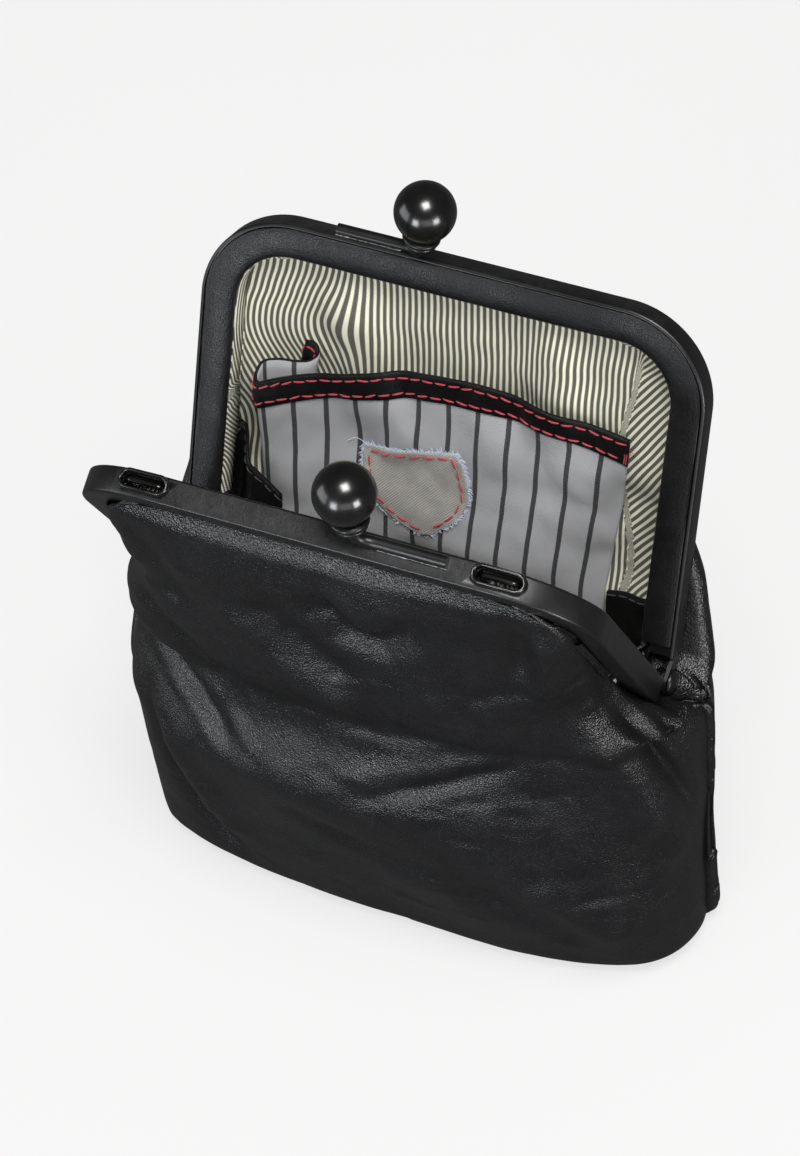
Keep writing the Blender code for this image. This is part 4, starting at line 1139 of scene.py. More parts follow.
def stroke_distance(points, line):
    """Distance of each point from a line of points, and how far along the line it is, from 0 to 1."""
    line = np.array(line, float) * MM
    lengths = np.linalg.norm(np.diff(line, axis=0), axis=1)
    total, passed = lengths.sum(), 0
    best = np.full(points.shape[:2], np.inf)
    share = np.zeros(points.shape[:2])
    for a, b, length in zip(line, line[1:], lengths):
        way = (b - a) / length
        t = np.clip((points - a) @ way, 0, length)
        gap = np.linalg.norm(points - a - t[..., None] * way, axis=2)
        nearer = gap < best
        best = np.where(nearer, gap, best)
        share = np.where(nearer, (passed + t) / total, share)
        passed += length
    return best, share


def folds(points, strokes):
    """Height of the listed folds: (kind, depth in mm, half-width in mm, line of points in mm)."""
    height = np.zeros(points.shape[:2])
    for kind, depth, width, line in strokes:
        gap, share = stroke_distance(points, line)
        ends = 1 if kind == "dot" else eased(np.minimum(share, 1 - share) * 5)
        away = gap / (width * MM)
        profile = np.exp(-away) - 0.35 * bell(away - 2.2) if kind == "crease" else bell(away)
        height += depth * MM * profile * ends
    return height


def clouds(points, scale, seed):
    """Smooth uneven values for a grid of points."""
    shift = Vector((seed * 3.7, seed * 1.3, seed * 7.1))
    flat = points.reshape(-1, 3)
    found = [noise.noise(Vector(p) / scale + shift) for p in flat]
    return np.array(found).reshape(points.shape[:2])


FRONT_STROKES = [
    ("valley", -2.6, 4.6,
     [(-4, -44, 158), (-2, -43, 148), (3, -42, 140), (10, -42, 138), (17, -43, 144), (22, -44, 156)]),
    ("dot", 1.2, 7.5, [(9, -44, 156), (10, -44, 158)]),
    ("valley", 1.7, 6.5, [(-34, -40, 140), (-26, -40, 130), (-18, -40, 121), (-8, -39, 112), (6, -38, 106)]),
    ("valley", -1.3, 5, [(-22, -42, 146), (-14, -42, 136), (-6, -41, 126), (4, -40, 120)]),
    ("crease", -1.5, 2.4, [(-64, -20, 96), (-61, -23, 92), (-52, -29, 87), (-43, -34, 81), (-34, -38, 70)]),
    ("valley", 1.6, 5, [(-66, -20, 106), (-58, -27, 100), (-47, -33, 93), (-38, -37, 83)]),
    ("valley", -1.4, 4.5, [(-60, -30, 122), (-52, -34, 112), (-42, -37, 103), (-34, -39, 96)]),
    ("valley", -2.2, 3.6,
     [(-66, -25, 80), (-64, -29, 62), (-61, -29, 44), (-57, -28, 28), (-50, -28, 15), (-42, -28, 7)]),
    ("valley", 1.6, 5.5, [(-58, -31, 70), (-54, -33, 48), (-49, -33, 30), (-42, -32, 18)]),
    ("valley", -1.7, 3.4, [(45, -42, 170), (46, -43, 166), (47, -43, 158), (46, -41, 146), (43, -39, 134)]),
    ("valley", 1.9, 4.2, [(54, -42, 166), (53, -40, 150), (50, -36, 132), (46, -36, 118)]),
    ("valley", -2.4, 3, [(59, -37, 160), (58.5, -31, 147), (58, -26, 134), (58, -21, 118), (60, -19, 108)]),
    ("crease", -2.2, 1.7,
     [(58, -21, 118), (60, -20, 109), (63, -19, 102), (67, -18, 94), (71, -14, 78), (73, -8, 57)]),
    ("valley", 1.5, 3.2,
     [(54, -25, 112), (58, -24, 100), (63, -22, 90), (67, -19, 74), (69, -14, 54), (70, -10, 36)]),
    ("valley", 2.0, 5,
     [(52, -30, 116), (57, -27, 100), (61, -25, 88), (65, -21, 70), (67, -18, 50), (66, -18, 34)]),
    ("crease", -1.0, 1.6, [(62, -15, 110), (67, -13, 103), (70, -12, 92), (73, -9, 80)]),
    ("valley", -0.9, 2.6,
     [(-7, -41, 68), (4, -41, 74), (14, -38, 79), (24, -36, 84), (34, -34, 89), (41, -31, 94)]),
    ("valley", 0.7, 3.2, [(-10, -41, 76), (4, -40, 81), (16, -38, 86), (28, -35, 91), (38, -33, 97)]),
    ("valley", -0.8, 3, [(28, -39, 120), (36, -38, 126), (44, -37, 128), (51, -32, 124)]),
    ("valley", 1.0, 6, [(40, -36, 50), (46, -34, 41), (55, -30, 27), (62, -25, 19)]),
    ("valley", -1.1, 5, [(20, -38, 44), (32, -37, 36), (44, -34, 26), (52, -31, 16)]),
    ("valley", -1.3, 4.2, [(-52, -42, 166), (-49, -41, 154), (-45, -39, 140), (-44, -38, 126)]),
    ("valley", 1.0, 4.5, [(-58, -38, 150), (-55, -36, 136), (-53, -34, 124)]),
    ("valley", -0.8, 4, [(-30, -38, 60), (-14, -40, 50), (4, -39, 44), (22, -38, 42)]),
]
BACK_STROKES = [
    ("valley", -2.2, 5, [(-30, 44, 168), (-28, 42, 150), (-20, 40, 132), (-10, 38, 116)]),
    ("valley", 1.4, 6, [(-14, 44, 164), (-12, 42, 146), (-4, 40, 128)]),
    ("valley", -1.8, 4.5, [(26, 44, 166), (24, 42, 150), (28, 40, 134), (36, 36, 118)]),
    ("crease", -2.0, 3, [(-64, 16, 108), (-56, 24, 100), (-46, 28, 90), (-36, 30, 76)]),
    ("crease", -2.0, 3, [(64, 16, 110), (57, 23, 100), (48, 27, 88), (42, 29, 72)]),
    ("valley", 1.5, 5.5, [(-60, 20, 92), (-50, 26, 80), (-40, 29, 64)]),
    ("valley", -1.0, 4, [(-30, 30, 70), (-10, 31, 78), (12, 31, 76), (32, 30, 68)]),
    ("valley", 1.0, 6, [(20, 29, 52), (38, 27, 40), (52, 22, 26)]),
    ("valley", -1.4, 4.2, [(-58, 18, 60), (-52, 22, 40), (-40, 22, 22)]),
    ("valley", -1.2, 4.5, [(60, 14, 66), (56, 18, 44), (46, 20, 24)]),
]


def small_creases(side):
    """Short soft creases, mostly level, where the leather is slack."""
    chance = random.Random(11 + side)
    strokes = []
    for _ in range(90):
        x = chance.uniform(-62, 68)
        z = chance.uniform(14, 150)
        reach = chance.uniform(5, 15)
        rise = chance.uniform(-0.15, 0.55) * (1 if x > -30 else -1)
        # This draw has no use, but the later ones depend on it
        chance.uniform(26, 42)
        bend = chance.uniform(-2, 2)
        half, climb = reach / 2, rise * reach / 2
        line = [(x - half, 0, z - climb), (x, 0, z + bend), (x + half, 0, z + climb)]
        depth = chance.choice((-1, 1)) * chance.uniform(0.15, 0.5)
        strokes.append((depth, chance.uniform(0.9, 2), line))
    return strokes


# Unevenness of the leather: height, scale and seed
SKIN_WAVES = ((0.8 * MM, 26 * MM, 1), (0.35 * MM, 11 * MM, 5))
CRINKLE, CRINKLE_SCALE, CRINKLE_PATCHES = 0.16 * MM, 4 * MM, 34 * MM
HEM_CALM = 16 * MM
FLOOR_CALM_START, FLOOR_CALM = 0.5 * MM, 8 * MM
SEAM_CALM_START, SEAM_CALM = 3 * MM, 9 * MM
NOTCH_RISE, NOTCH_SPAN, NOTCH_REACH = 4 * MM, 13 * MM, 15 * MM
SHALLOW_LEAST, DEEP_LEAST = -1.2 * MM, -4.5 * MM
DEEP_START, DEEP_REACH = 8 * MM, 22 * MM
PINCH, PINCH_PLACE, PINCH_WIDTH = -1.1 * MM, 3.6 * MM, 2.4 * MM
PINCH_TOP, PINCH_FADE = 12 * MM, 10 * MM
SOFT_PINCH_TOP, SOFT_PINCH_FADE = 62 * MM, 30 * MM


def skin_heights(points, side):
    """How far the leather stands off its smooth form."""
    strokes = FRONT_STROKES if side == FRONT else BACK_STROKES
    height = 1.25 * folds(points, strokes)
    level = points * np.array([1, 0, 1])
    for depth, width, line in small_creases(side):
        gap, share = stroke_distance(level, line)
        height += depth * MM * bell(gap / (width * MM)) * (1 - (2 * share - 1) ** 4)
    for rise, scale, seed in SKIN_WAVES:
        height += rise * clouds(points, scale, seed + side)
    crinkle = 0.5 + 0.5 * clouds(points, CRINKLE_PATCHES, 9 + side)
    height += CRINKLE * crinkle * clouds(points, CRINKLE_SCALE, 13 + side)
    high = points[..., 2]
    up = (high - HINGE_HEIGHT) * math.cos(OPEN_EACH) + np.abs(points[..., 1]) * math.sin(OPEN_EACH)
    stretched = np.clip((HEM_TOP - up) / HEM_CALM, 0, 1)
    grounded = np.clip((high - FLOOR_CALM_START) / FLOOR_CALM, 0, 1)
    near_edge = edge_distance(points)
    sewn = np.clip((near_edge - SEAM_CALM_START) / SEAM_CALM, 0, 1)
    height *= stretched**0.8 * grounded * (0.15 + 0.85 * sewn)
    notch = bell((high - HINGE_HEIGHT - NOTCH_RISE) / NOTCH_SPAN)
    height *= 1 - 0.85 * notch * bell(near_edge / NOTCH_REACH)
    deep = np.clip((near_edge - DEEP_START) / DEEP_REACH, 0, 1)
    height = np.maximum(height, mix(SHALLOW_LEAST, DEEP_LEAST, deep))
    low = np.clip((HINGE_HEIGHT + PINCH_TOP - high) / PINCH_FADE, 0, 1)
    right = np.clip((SOFT_PINCH_TOP - high) / SOFT_PINCH_FADE, 0.15, 1)
    smoother = np.where(points[..., 0] > 0, right, 1)
    return height + PINCH * bell((near_edge - PINCH_PLACE) / PINCH_WIDTH) * low * grounded * smoother


FLOOR_LEAST = 0.05 * MM
SHORTEST_EDGE = 0.001 * MM


def quad_corners(rows, columns):
    """Corner numbers of each quad of a grid of points."""
    index = np.arange(rows * columns).reshape(rows, columns)
    quads = np.stack([index[:-1, :-1], index[:-1, 1:], index[1:, 1:], index[1:, :-1]], axis=-1)
    return index, quads.reshape(-1, 4).tolist()


def closed_sheet(name, grid, normals, near, far, look, uv):
    """A wall between two depths under a grid of points."""
    rows, columns = grid.shape[:2]
    outer = grid - normals * near
    inner = grid - normals * far
    for wall in (outer, inner):
        wall[..., 2] = np.maximum(wall[..., 2], FLOOR_LEAST)
    verts = np.concatenate([outer.reshape(-1, 3), inner.reshape(-1, 3)])
    count = rows * columns
    index, quads = quad_corners(rows, columns)
    faces = [tuple(q) for q in quads] + [tuple(c + count for c in reversed(q)) for q in quads]
    border = list(index[0, :]) + list(index[1:, -1]) + list(index[-1, -2::-1]) + list(index[-2:0:-1, 0])
    for a, b in zip(border, border[1:] + border[:1]):
        faces.append((int(b), int(a), int(a) + count, int(b) + count))
    thing = put_mesh(name, verts, faces, look, np.concatenate([uv.reshape(-1, 2)] * 2))
    clean(thing, SHORTEST_EDGE).data.shade_smooth()
    return thing


def flat_places(grid):
    """Distances over the cloth from its middle column and its lowest row, in metres."""
    steps = np.linalg.norm(np.diff(grid, axis=1), axis=2)
    across = np.concatenate([np.zeros((grid.shape[0], 1)), np.cumsum(steps, axis=1)], axis=1)
    middle = grid.shape[1] // 2
    across -= across[:, middle:middle + 1]
    climbs = np.linalg.norm(np.diff(grid[:, middle], axis=0), axis=1)
    rise = np.concatenate([[0], np.cumsum(climbs)])
    down = np.repeat(rise[:, None], grid.shape[1], axis=1)
    return np.stack([across, down], axis=-1)


def declare_sheet(grid):
    """Works out the distances over a cloth piece's cut; nothing uses them."""
    places = flat_places(grid)


KEPT_BELOW = HINGE_HEIGHT + 36 * MM
LINING_SEAM_ROOM = 3 * MM


def off_the_seam(lining, side):
    """Draws the lining's edges in from the leather's side seams."""
    made = lining.copy()
    low = made[..., 2] < SEAM_TOP
    reach = np.abs(made[..., 0]).max(axis=1, keepdims=True) - LINING_SEAM_ROOM
    over = low & (np.abs(made[..., 0]) > reach)
    made[..., 0] = np.where(over, np.sign(made[..., 0]) * reach, made[..., 0])
    made[..., 1] = np.where(over, made[..., 1] + side * LINING, made[..., 1])
    return made


def kept_inside(lining, leather, room):
    """Moves points that come too near the leather, or through it, back to its inner side."""
    made = lining.copy()
    middle = Vector((0, 0, HINGE_HEIGHT / 2))
    place, normal = leather.find_nearest(middle)[:2]
    outward = 1 if normal.dot(place - middle) > 0 else -1
    for j in range(made.shape[0]):
        for k in range(made.shape[1]):
            point = Vector(made[j, k])
            if point.z > KEPT_BELOW:
                continue
            place, normal = leather.find_nearest(point)[:2]
            normal = normal * outward
            if normal.length > 0.5 and (point - place).dot(normal) > -room:
                made[j, k] = place - normal * room
    return made


SKIN_LEAST = 0.3 * MM
SUNK_MOST, SUNK_BELOW = 0.4 * MM, 0.3 * MM
# Gathers of the lining: height, scale and seed
GATHERS = ((1.5 * MM, 13 * MM, 21), (0.4 * MM, 5 * MM, 23))
GATHER_TOP, GATHER_FADE, GATHER_EDGE = 14 * MM, 12 * MM, 25 * MM
GATHER_ROOM = 1.1 * MM


def build_skins():
    """Leather and lining of both sides. Returns the grids of both."""
    found, skins = {}, {}
    for side, label in ((FRONT, "front"), (REAR, "rear")):
        grid = skin_rows(side)
        grid = blurred(grid, 6, 17)
        beside = bell((grid[..., 2] - HINGE_HEIGHT - BESIDE_RISE) / EVEN_SKIN_SPAN)
        grid = grid + (blurred(grid, 4, 4) - grid) * beside[..., None]
        normals = grid_normals(blurred(grid, 8, 3), side)
        height = skin_heights(grid, side)
        skin = grid + normals * blurred(height, 1)[..., None]
        skin[..., 2] = np.maximum(skin[..., 2], SKIN_LEAST)
        tucked = tucked_skin(skin, side)
        shape = even_normals(tucked, side, 5)
        run = flat_places(tucked)
        leather = closed_sheet(label + "_leather", tucked, shape, 0, LEATHER, LEATHER_LOOK, run)
        depth = LEATHER + LAYER_GAP
        core = slice(ROLL_STEPS, -ROLL_STEPS)
        sunk = np.minimum(blurred(lowest(height, 4), 4, 2), SUNK_MOST) - SUNK_BELOW
        lining = (grid + normals * sunk[..., None])[1:, core]
        lining_normals = normals[1:, core]
        lining = lining - lining_normals * depth
        calm = np.clip((HEM_TOP + HINGE_HEIGHT - GATHER_TOP - lining[..., 2]) / GATHER_FADE, 0, 1)
        calm = calm * np.clip(edge_distance(lining) / GATHER_EDGE, 0, 1)
        gathers = sum(high * clouds(lining, scale, seed) for high, scale, seed in GATHERS)
        lining -= lining_normals * ((gathers + GATHER_ROOM) * calm)[..., None]
        inside = tree_of(tucked[1:-2, 2:-2])
        lining = blurred(kept_inside(off_the_seam(lining, side), inside, depth), 3, 2)
        lining = kept_inside(lining, inside, depth)
        lining = tucked_skin(lining, side, HEM_LEVEL - LEATHER - LAYER_GAP)
        lining = to_the_lip(lining[:-2], side)
        lining_normals = grid_normals(lining, side)
        run = ticking_run(flat_places(lining))
        cloth = closed_sheet(label + "_lining", lining, lining_normals, 0, LINING, TICKING, run)
        for thing, slot in ((leather, "leather"), (cloth, "ticking")):
            if side == FRONT:
                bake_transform(thing)
            else:
                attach(thing, "rear_half")
        if side == FRONT:
            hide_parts("front_panel_upper", "front_panel_lower")
            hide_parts("front_lining_upper", "front_lining_lower")
        else:
            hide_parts("back_panel")
            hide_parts("back_lining")
        declare_sheet(lining)
        found[side] = lining
        skins[side] = tucked
    return found, skins


WEB_ROWS = 10
WEB_STEPS = 18
WEB_SAG_SHARE = 0.22
INNER_ROWS = 5
INNER_REACH = 4 * MM
INNER_FALL = 2 * MM


def web_row(front, rear):
    """A row of the web, which leaves both skins' edges the way that they run there."""
    ends = [Vector(line[0]) for line in (front, rear)]
    span = (ends[0] - ends[1]).length
    ways = []
    for line, end in zip((front, rear), ends):
        run = end - Vector(line[1])
        ways.append(run.normalized() * min(span * 0.9, 3 * run.length))
    row = []
    for k in range(WEB_STEPS + 1):
        t = k / WEB_STEPS
        place = ends[0] * (1 + 2 * t) * (1 - t) ** 2 + ends[1] * t * t * (3 - 2 * t)
        place += ways[0] * t * (1 - t) ** 2 + ways[1] * t * t * (1 - t)
        place.z -= span * WEB_SAG_SHARE * math.sin(math.pi * t)
        row.append(tuple(place))
    return row


def build_gusset_webs(skins):
    """Leather that spans the notch between the two skins beside each hinge, above the side seam."""
    first = skins[FRONT].shape[0] - UPPER_ROWS - 3
    for sign, label, columns in ((-1, "left", (2, 5)), (1, "right", (-3, -6))):
        grid = []
        for j in range(WEB_ROWS + 1):
            front, rear = [[skins[side][first + j, k] for k in columns] for side in (FRONT, REAR)]
            grid.append(web_row(front, rear))
        last = grid[-1]
        for j in range(1, INNER_ROWS + 1):
            t = j / INNER_ROWS
            step = (-sign * INNER_REACH * t, -INNER_FALL * t * t)
            grid.append([(x + step[0], y * mix(1, 0.6, t), z + step[1]) for x, y, z in last])
        grid = np.array(grid)
        normals = grid_normals(blurred(grid, 2, 2), REAR)
        if normals[WEB_ROWS // 2, WEB_STEPS // 2, 2] < 0:
            normals = -normals
        run = flat_places(grid)
        web = closed_sheet("gusset_web_" + label, grid, normals, 0, LEATHER, LEATHER_LOOK, run)
        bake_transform(web)


RIGHT_CREASE = 43.5 * MM
RIGHT_TILT = math.radians(36)
TURN_FALL, LEAN_START = 16 * MM, 5 * MM
CREASE_SWAY, CREASE_WAVE, CREASE_SOFT = 2 * MM, 9 * MM, 1.2 * MM
LEFT_SWING = 6.5 * MM
LEFT_START, LEFT_FADE = 22 * MM, 20 * MM
SWING_FALL, RETURN_START, RETURN_FALL = 24 * MM, 22 * MM, 40 * MM
RUN_WAVE, RUN_WAVE_DOWN, RUN_WAVE_ACROSS = 0.8 * MM, 5.5 * MM, 12 * MM


def ticking_run(flat):
    """Shifts the stripes' coordinate, so they lean beside the lips as the gathered cloth does."""
    made = flat.copy()
    across, rise = flat[..., 0], flat[..., 1]
    fall = rise.max(axis=0, keepdims=True) - rise
    turn = RIGHT_TILT * eased(fall / TURN_FALL)
    crease = RIGHT_CREASE + CREASE_SWAY * np.sin(fall / CREASE_WAVE)
    leaning = crease + (across - crease) * np.cos(turn) + (fall - LEAN_START) * np.sin(turn)
    share = eased((across - crease) / CREASE_SOFT)
    swing = eased(fall / SWING_FALL) - 2.1 * eased((fall - RETURN_START) / RETURN_FALL)
    wavy = RUN_WAVE * np.sin(fall / RUN_WAVE_DOWN + across / RUN_WAVE_ACROSS)
    left = eased((-across - LEFT_START) / LEFT_FADE)
    made[..., 0] = across + (leaning - across) * share + left * (LEFT_SWING * swing + wavy)
    return made


TUCK_START = 5 * MM
TUCK_STEP = 1.2 * MM


def frame_axes(side):
    """Hinge line's middle, the way out from the meeting plane and the way up a frame, as arrays."""
    hinge = np.array([0, 0, HINGE_HEIGHT])
    out = np.array([0, side * math.cos(OPEN_EACH), -math.sin(OPEN_EACH)])
    up = np.array([0, side * math.sin(OPEN_EACH), math.cos(OPEN_EACH)])
    return hinge, out, up


def to_the_lip(lining, side):
    """Adds the lining's edge, which runs in behind the frame and up to the lip."""
    hinge, out_way, up_way = frame_axes(side)
    level = GAP + LIP_PUFF * 0.8
    behind = FRAME_DEPTH + GAP + LEATHER + LAYER_GAP
    rows = lining.shape[0]
    sides = {}
    for sign, column in ((-1, 0), (1, -1)):
        strip = np.zeros((rows, 3, 3))
        for j in range(rows):
            point = lining[j, column]
            out, up = (point - hinge) @ out_way, (point - hinge) @ up_way
            pull = smooth((up - NOTCH_HIGH) / NOTCH_HIGH)
            turned = point.copy()
            turned[0] = sign * min(abs(point[0]), HEM_HALF - LEATHER)
            turned += out_way * max(behind - out, 0) * (1 if abs(point[0]) > HEM_HALF else 0)
            deep = (turned - hinge) @ out_way
            near = turned - out_way * (deep - level)
            for k, place in enumerate((turned, (turned + near) / 2, near)):
                behind_it = point + (turned - point) * min(2 * pull, 1)
                strip[j, k] = behind_it + (place - turned) * max(2 * pull - 1, 0)
        sides[sign] = strip
    made = np.concatenate([sides[-1][:, ::-1], lining, sides[1]], axis=1)
    last = made[-1]
    deep = (last - hinge) @ out_way
    tops = [last - out_way * ((deep - level) * share)[:, None] for share in (0.5, 1)]
    return np.concatenate([made, np.array(tops)], axis=0)


def tucked_skin(skin, side, level=HEM_LEVEL):
    """Draws a skin's upper edge in behind the flange, and adds the rows that the channel holds."""
    hinge, out_way, up_way = frame_axes(side)
    deep, high = (skin - hinge) @ out_way, (skin - hinge) @ up_way
    share = eased((high - HEM_TOP + TUCK_START) / TUCK_START)
    made = skin - out_way * (np.maximum(deep - level, 0) * share)[..., None]
    extra = [made[-1] + up_way * TUCK_STEP * k - out_way * GAP * k / 2 for k in (1, 2)]
    return np.concatenate([made, np.array(extra)], axis=0)


def tree_of(grid):
    rows, columns = grid.shape[:2]
    return BVHTree.FromPolygons([Vector(p) for p in grid.reshape(-1, 3)], quad_corners(rows, columns)[1])


NO_REST = 8 * MM


def rest_on(tree, x, up, standoff):
    """A point in front of the back lining, at a height up the back from the hinge line."""
    lean = level_lean(up)
    y, z = rise_at(up)
    start = Vector((x, y + seam_place(x, HINGE_HEIGHT + z), HINGE_HEIGHT + z))
    way = Vector((0, math.cos(lean), -math.sin(lean)))
    place = tree.ray_cast(start, way)[0]
    return start + way * NO_REST if place is None else place - way * standoff


def pocket_middle(up):
    taper = min(max(up / POCKET_TAPER, 0), 1)
    return mix(POCKET_FOOT_SIDE, POCKET_SIDE, taper), mix(POCKET_FOOT_HALF, POCKET_HALF, taper)


def left_share(share):
    """0 over most of the pocket, and up to 1 at its left end."""
    return smooth((-share - 0.35) / 0.6)


def pocket_top(share):
    lifted = POCKET_LEFT_LIFT * left_share(share)
    return POCKET_TOP - POCKET_SAG * share * share + POCKET_TILT * share + lifted


# The pocket's spare cloth at its left, folded in an S: along the pocket, back to the lining and up, in mm
FOLD_POINTS = (
    (-1, 0.8, 0.5), (-1.4, 2.4, 2), (-0.6, 4.2, 4), (2.8, 5.2, 5), (7, 5.6, 5.4), (10.4, 6, 6.2),
    (12.2, 7.2, 8), (11, 8.4, 10), (8, 8.8, 10.4),
)
FOLD_STANDOFF = 9.2 * MM
FOLD_END, FOLD_LEAST = 8 * MM, 0.3 * MM


def pocket_spot(tree, share, fall, bottom):
    """A point of the pocket cloth, from its left edge at -1 to its right at 1, and down from its top."""
    top = pocket_top(share)
    up = mix(top, bottom, fall)
    middle, half = pocket_middle(up)
    low = POCKET_BOTTOM - HINGE_HEIGHT
    open_share = smooth((up - low) / (POCKET_TOP - low) * 1.4)
    gape = POCKET_GAPE * (1 - abs(share) ** 2.4) * open_share
    gape += (FOLD_STANDOFF - POCKET_GAP) * left_share(share) * open_share**2
    draw = POCKET_LEFT_DRAW * max(-share, 0)
    return rest_on(tree, middle + share * half + draw, up, POCKET_GAP + gape)


def build_pocket(tree):
    """Pocket cloth with its S fold and its leather band. Returns the grid of the cloth."""
    columns, rows = POCKET_COLUMNS, POCKET_ROWS
    shares = [mix(-1, 1, k / columns) for k in range(columns + 1)]
    bottom = POCKET_BOTTOM - HINGE_HEIGHT
    grid = []
    for j in range(rows + 1):
        fall = j / rows
        row = [pocket_spot(tree, share, fall, bottom) for share in shares]
        row = fold_back(tree, row, fall, bottom) + row[1:]
        grid.append([tuple(p) for p in row])
    grid = np.array(grid)
    normals = grid_normals(grid, -REAR)
    ripple = sum(high * clouds(grid, scale, seed) for high, scale, seed in RIPPLES)
    calm = np.linspace(0, 1, rows + 1)[:, None]
    grid = grid + normals * (ripple * np.minimum(calm * 5, 1))[..., None]
    uv = flat_places(grid)
    extra = grid.shape[1] - 1 - columns
    shares = np.array(shares)
    front = shares * POCKET_HALF + POCKET_LEFT_DRAW * np.maximum(-shares, 0) + PINSTRIPE_SHIFT
    uv[:, :extra, 0] += front[0] - uv[:, extra:extra + 1, 0]
    uv[:, extra:, 0] = front
    cloth = closed_sheet("pocket_cloth_folded", grid, normals, 0, LINING, PINSTRIPE, uv)
    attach(cloth, "rear_half")
    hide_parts("pocket_cloth")
    declare_sheet(grid)
    build_band(grid)
    return grid


def fold_back(tree, row, fall, bottom):
    """Points that carry the cloth's left end round in an S, back to the lining."""
    amount = max(1 - fall * 1.5, 0) ** 0.8
    up = mix(pocket_top(-1), bottom, fall)
    middle, half = pocket_middle(up)
    edge = row[0]
    left = middle - half + POCKET_LEFT_DRAW
    back = rest_on(tree, left + FOLD_END * amount, up, FOLD_LEAST)
    inward = (rest_on(tree, left, up, FOLD_LEAST) - edge) / FOLD_STANDOFF
    shape = [(0, 0, 0)] + list(FOLD_POINTS)
    upward = frame_way(REAR, 1, 0)
    points = []
    stations = list(range(len(shape)))
    steps = 5 * (len(shape) - 1)
    for k in range(steps, 0, -1):
        t = k / steps * (len(shape) - 1)
        x, deep, high = (along(stations, [p[axis] for p in shape], t) * MM for axis in range(3))
        x, high = x * amount, high * amount
        points.append(edge + Vector((x, 0, 0)) + inward * deep + upward * high)
    points[0] = points[0].lerp(back, 0.3)
    return points + [edge]


def band_height(rows_down, grid):
    """Point on the pocket cloth a given distance below its top edge, for each column."""
    columns = grid.shape[1]
    found = np.zeros((columns, 3))
    steps = np.linalg.norm(np.diff(grid, axis=0), axis=2)
    lengths = np.concatenate([np.zeros((1, columns)), np.cumsum(steps, axis=0)])
    for k in range(columns):
        for axis in range(3):
            found[k, axis] = np.interp(rows_down, lengths[:, k], grid[:, k, axis])
    return found


TACK_STITCHES = 2
TACK_PITCH = 0.5 * MM
TACK_IN = 0.5 * MM
TACK_LIFT, TACK_STANDOFF = 0.15 * MM, 0.05 * MM
TACK_THREAD, LOOSE_THREAD = 0.14 * MM, 0.08 * MM
LOOSE_ENDS = 2
LOOSE_STANDOFF = 0.4 * MM


def add_tack(pile, front, normals):
    """Bar tack over the band's right end, and the thread's loose ends."""
    for n in range(TACK_STITCHES):
        back = Vector((-TACK_IN - n * TACK_PITCH, 0, 0))
        spots = []
        for j in (5, 6, 7, 8, 9):
            lift = TACK_LIFT * math.sin(math.pi * (j - 5) / 4)
            spots.append(Vector(front[j, -1]) + back + Vector(normals[j, -1]) * (TACK_STANDOFF + lift))
        pile.rings(tube_rings(spots, TACK_THREAD, 7))
    for n in range(LOOSE_ENDS):
        start = Vector(front[2 + 2 * (n % 4), -1]) + Vector(normals[5, -1]) * LOOSE_STANDOFF
        reach = random.uniform(1.2, 2.2) * MM
        sway = random.uniform(-0.7, 0.7)
        route = []
        for t in (0, 0.3, 0.6, 1):
            step = Vector((reach * t * 0.8, -reach * t * (1 - t) * 0.8, reach * (sway * t * t - 0.6 * t)))
            route.append(start + step)
        pile.rings(tube_rings(route, LOOSE_THREAD, 6))


def build_band(grid):
    """Leather band over the pocket's upper edge, with its red stitches."""
    heights = [mix(-BAND_OVER, BAND_WIDTH, j / BAND_ROWS) for j in range(BAND_ROWS + 1)]
    lines = [band_height(max(h, 0), grid) for h in heights]
    lines[0] = lines[0] + (lines[0] - band_height(BAND_PROBE, grid)) * 0.6
    band = np.array(lines)
    band_normals = grid_normals(band, -REAR)
    crown = np.sin(np.linspace(0, math.pi, BAND_ROWS + 1))[:, None, None] ** 0.6
    front = band + band_normals * (LINING / 2 + BAND_WALL * 0.55 * (0.5 + 0.5 * crown))
    run = flat_places(front)
    strip = closed_sheet("pocket_band_leather", front, band_normals, 0, BAND_WALL * 0.7, BAND_LOOK, run)
    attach(strip, "rear_half")
    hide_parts("pocket_band")
    stitches = Pile()
    for row_share in (0.2, 0.8):
        j = round(row_share * BAND_ROWS)
        line = [Vector(p) for p in front[j]]
        ways = [Vector(n) for n in band_normals[j]]
        run_stitches(stitches, line, ways, *BAND_STITCH)
    add_tack(stitches, front, band_normals)
    thing = stitches.piece("band_stitches", RED_THREAD, 80)
    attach(thing, "rear_half")


# Running stitches: length, space between, radius of the thread and wander
BAND_STITCH = (2.7 * MM, 0.65 * MM, 0.24 * MM, 0.6 * MM)
PATCH_STITCH = (3 * MM, 0.7 * MM, 0.27 * MM, 0.6 * MM)
FACING_STITCH = (2.4 * MM, 0.8 * MM, 0.17 * MM, 0.2 * MM)
STITCH_AHEAD = 0.2 * MM


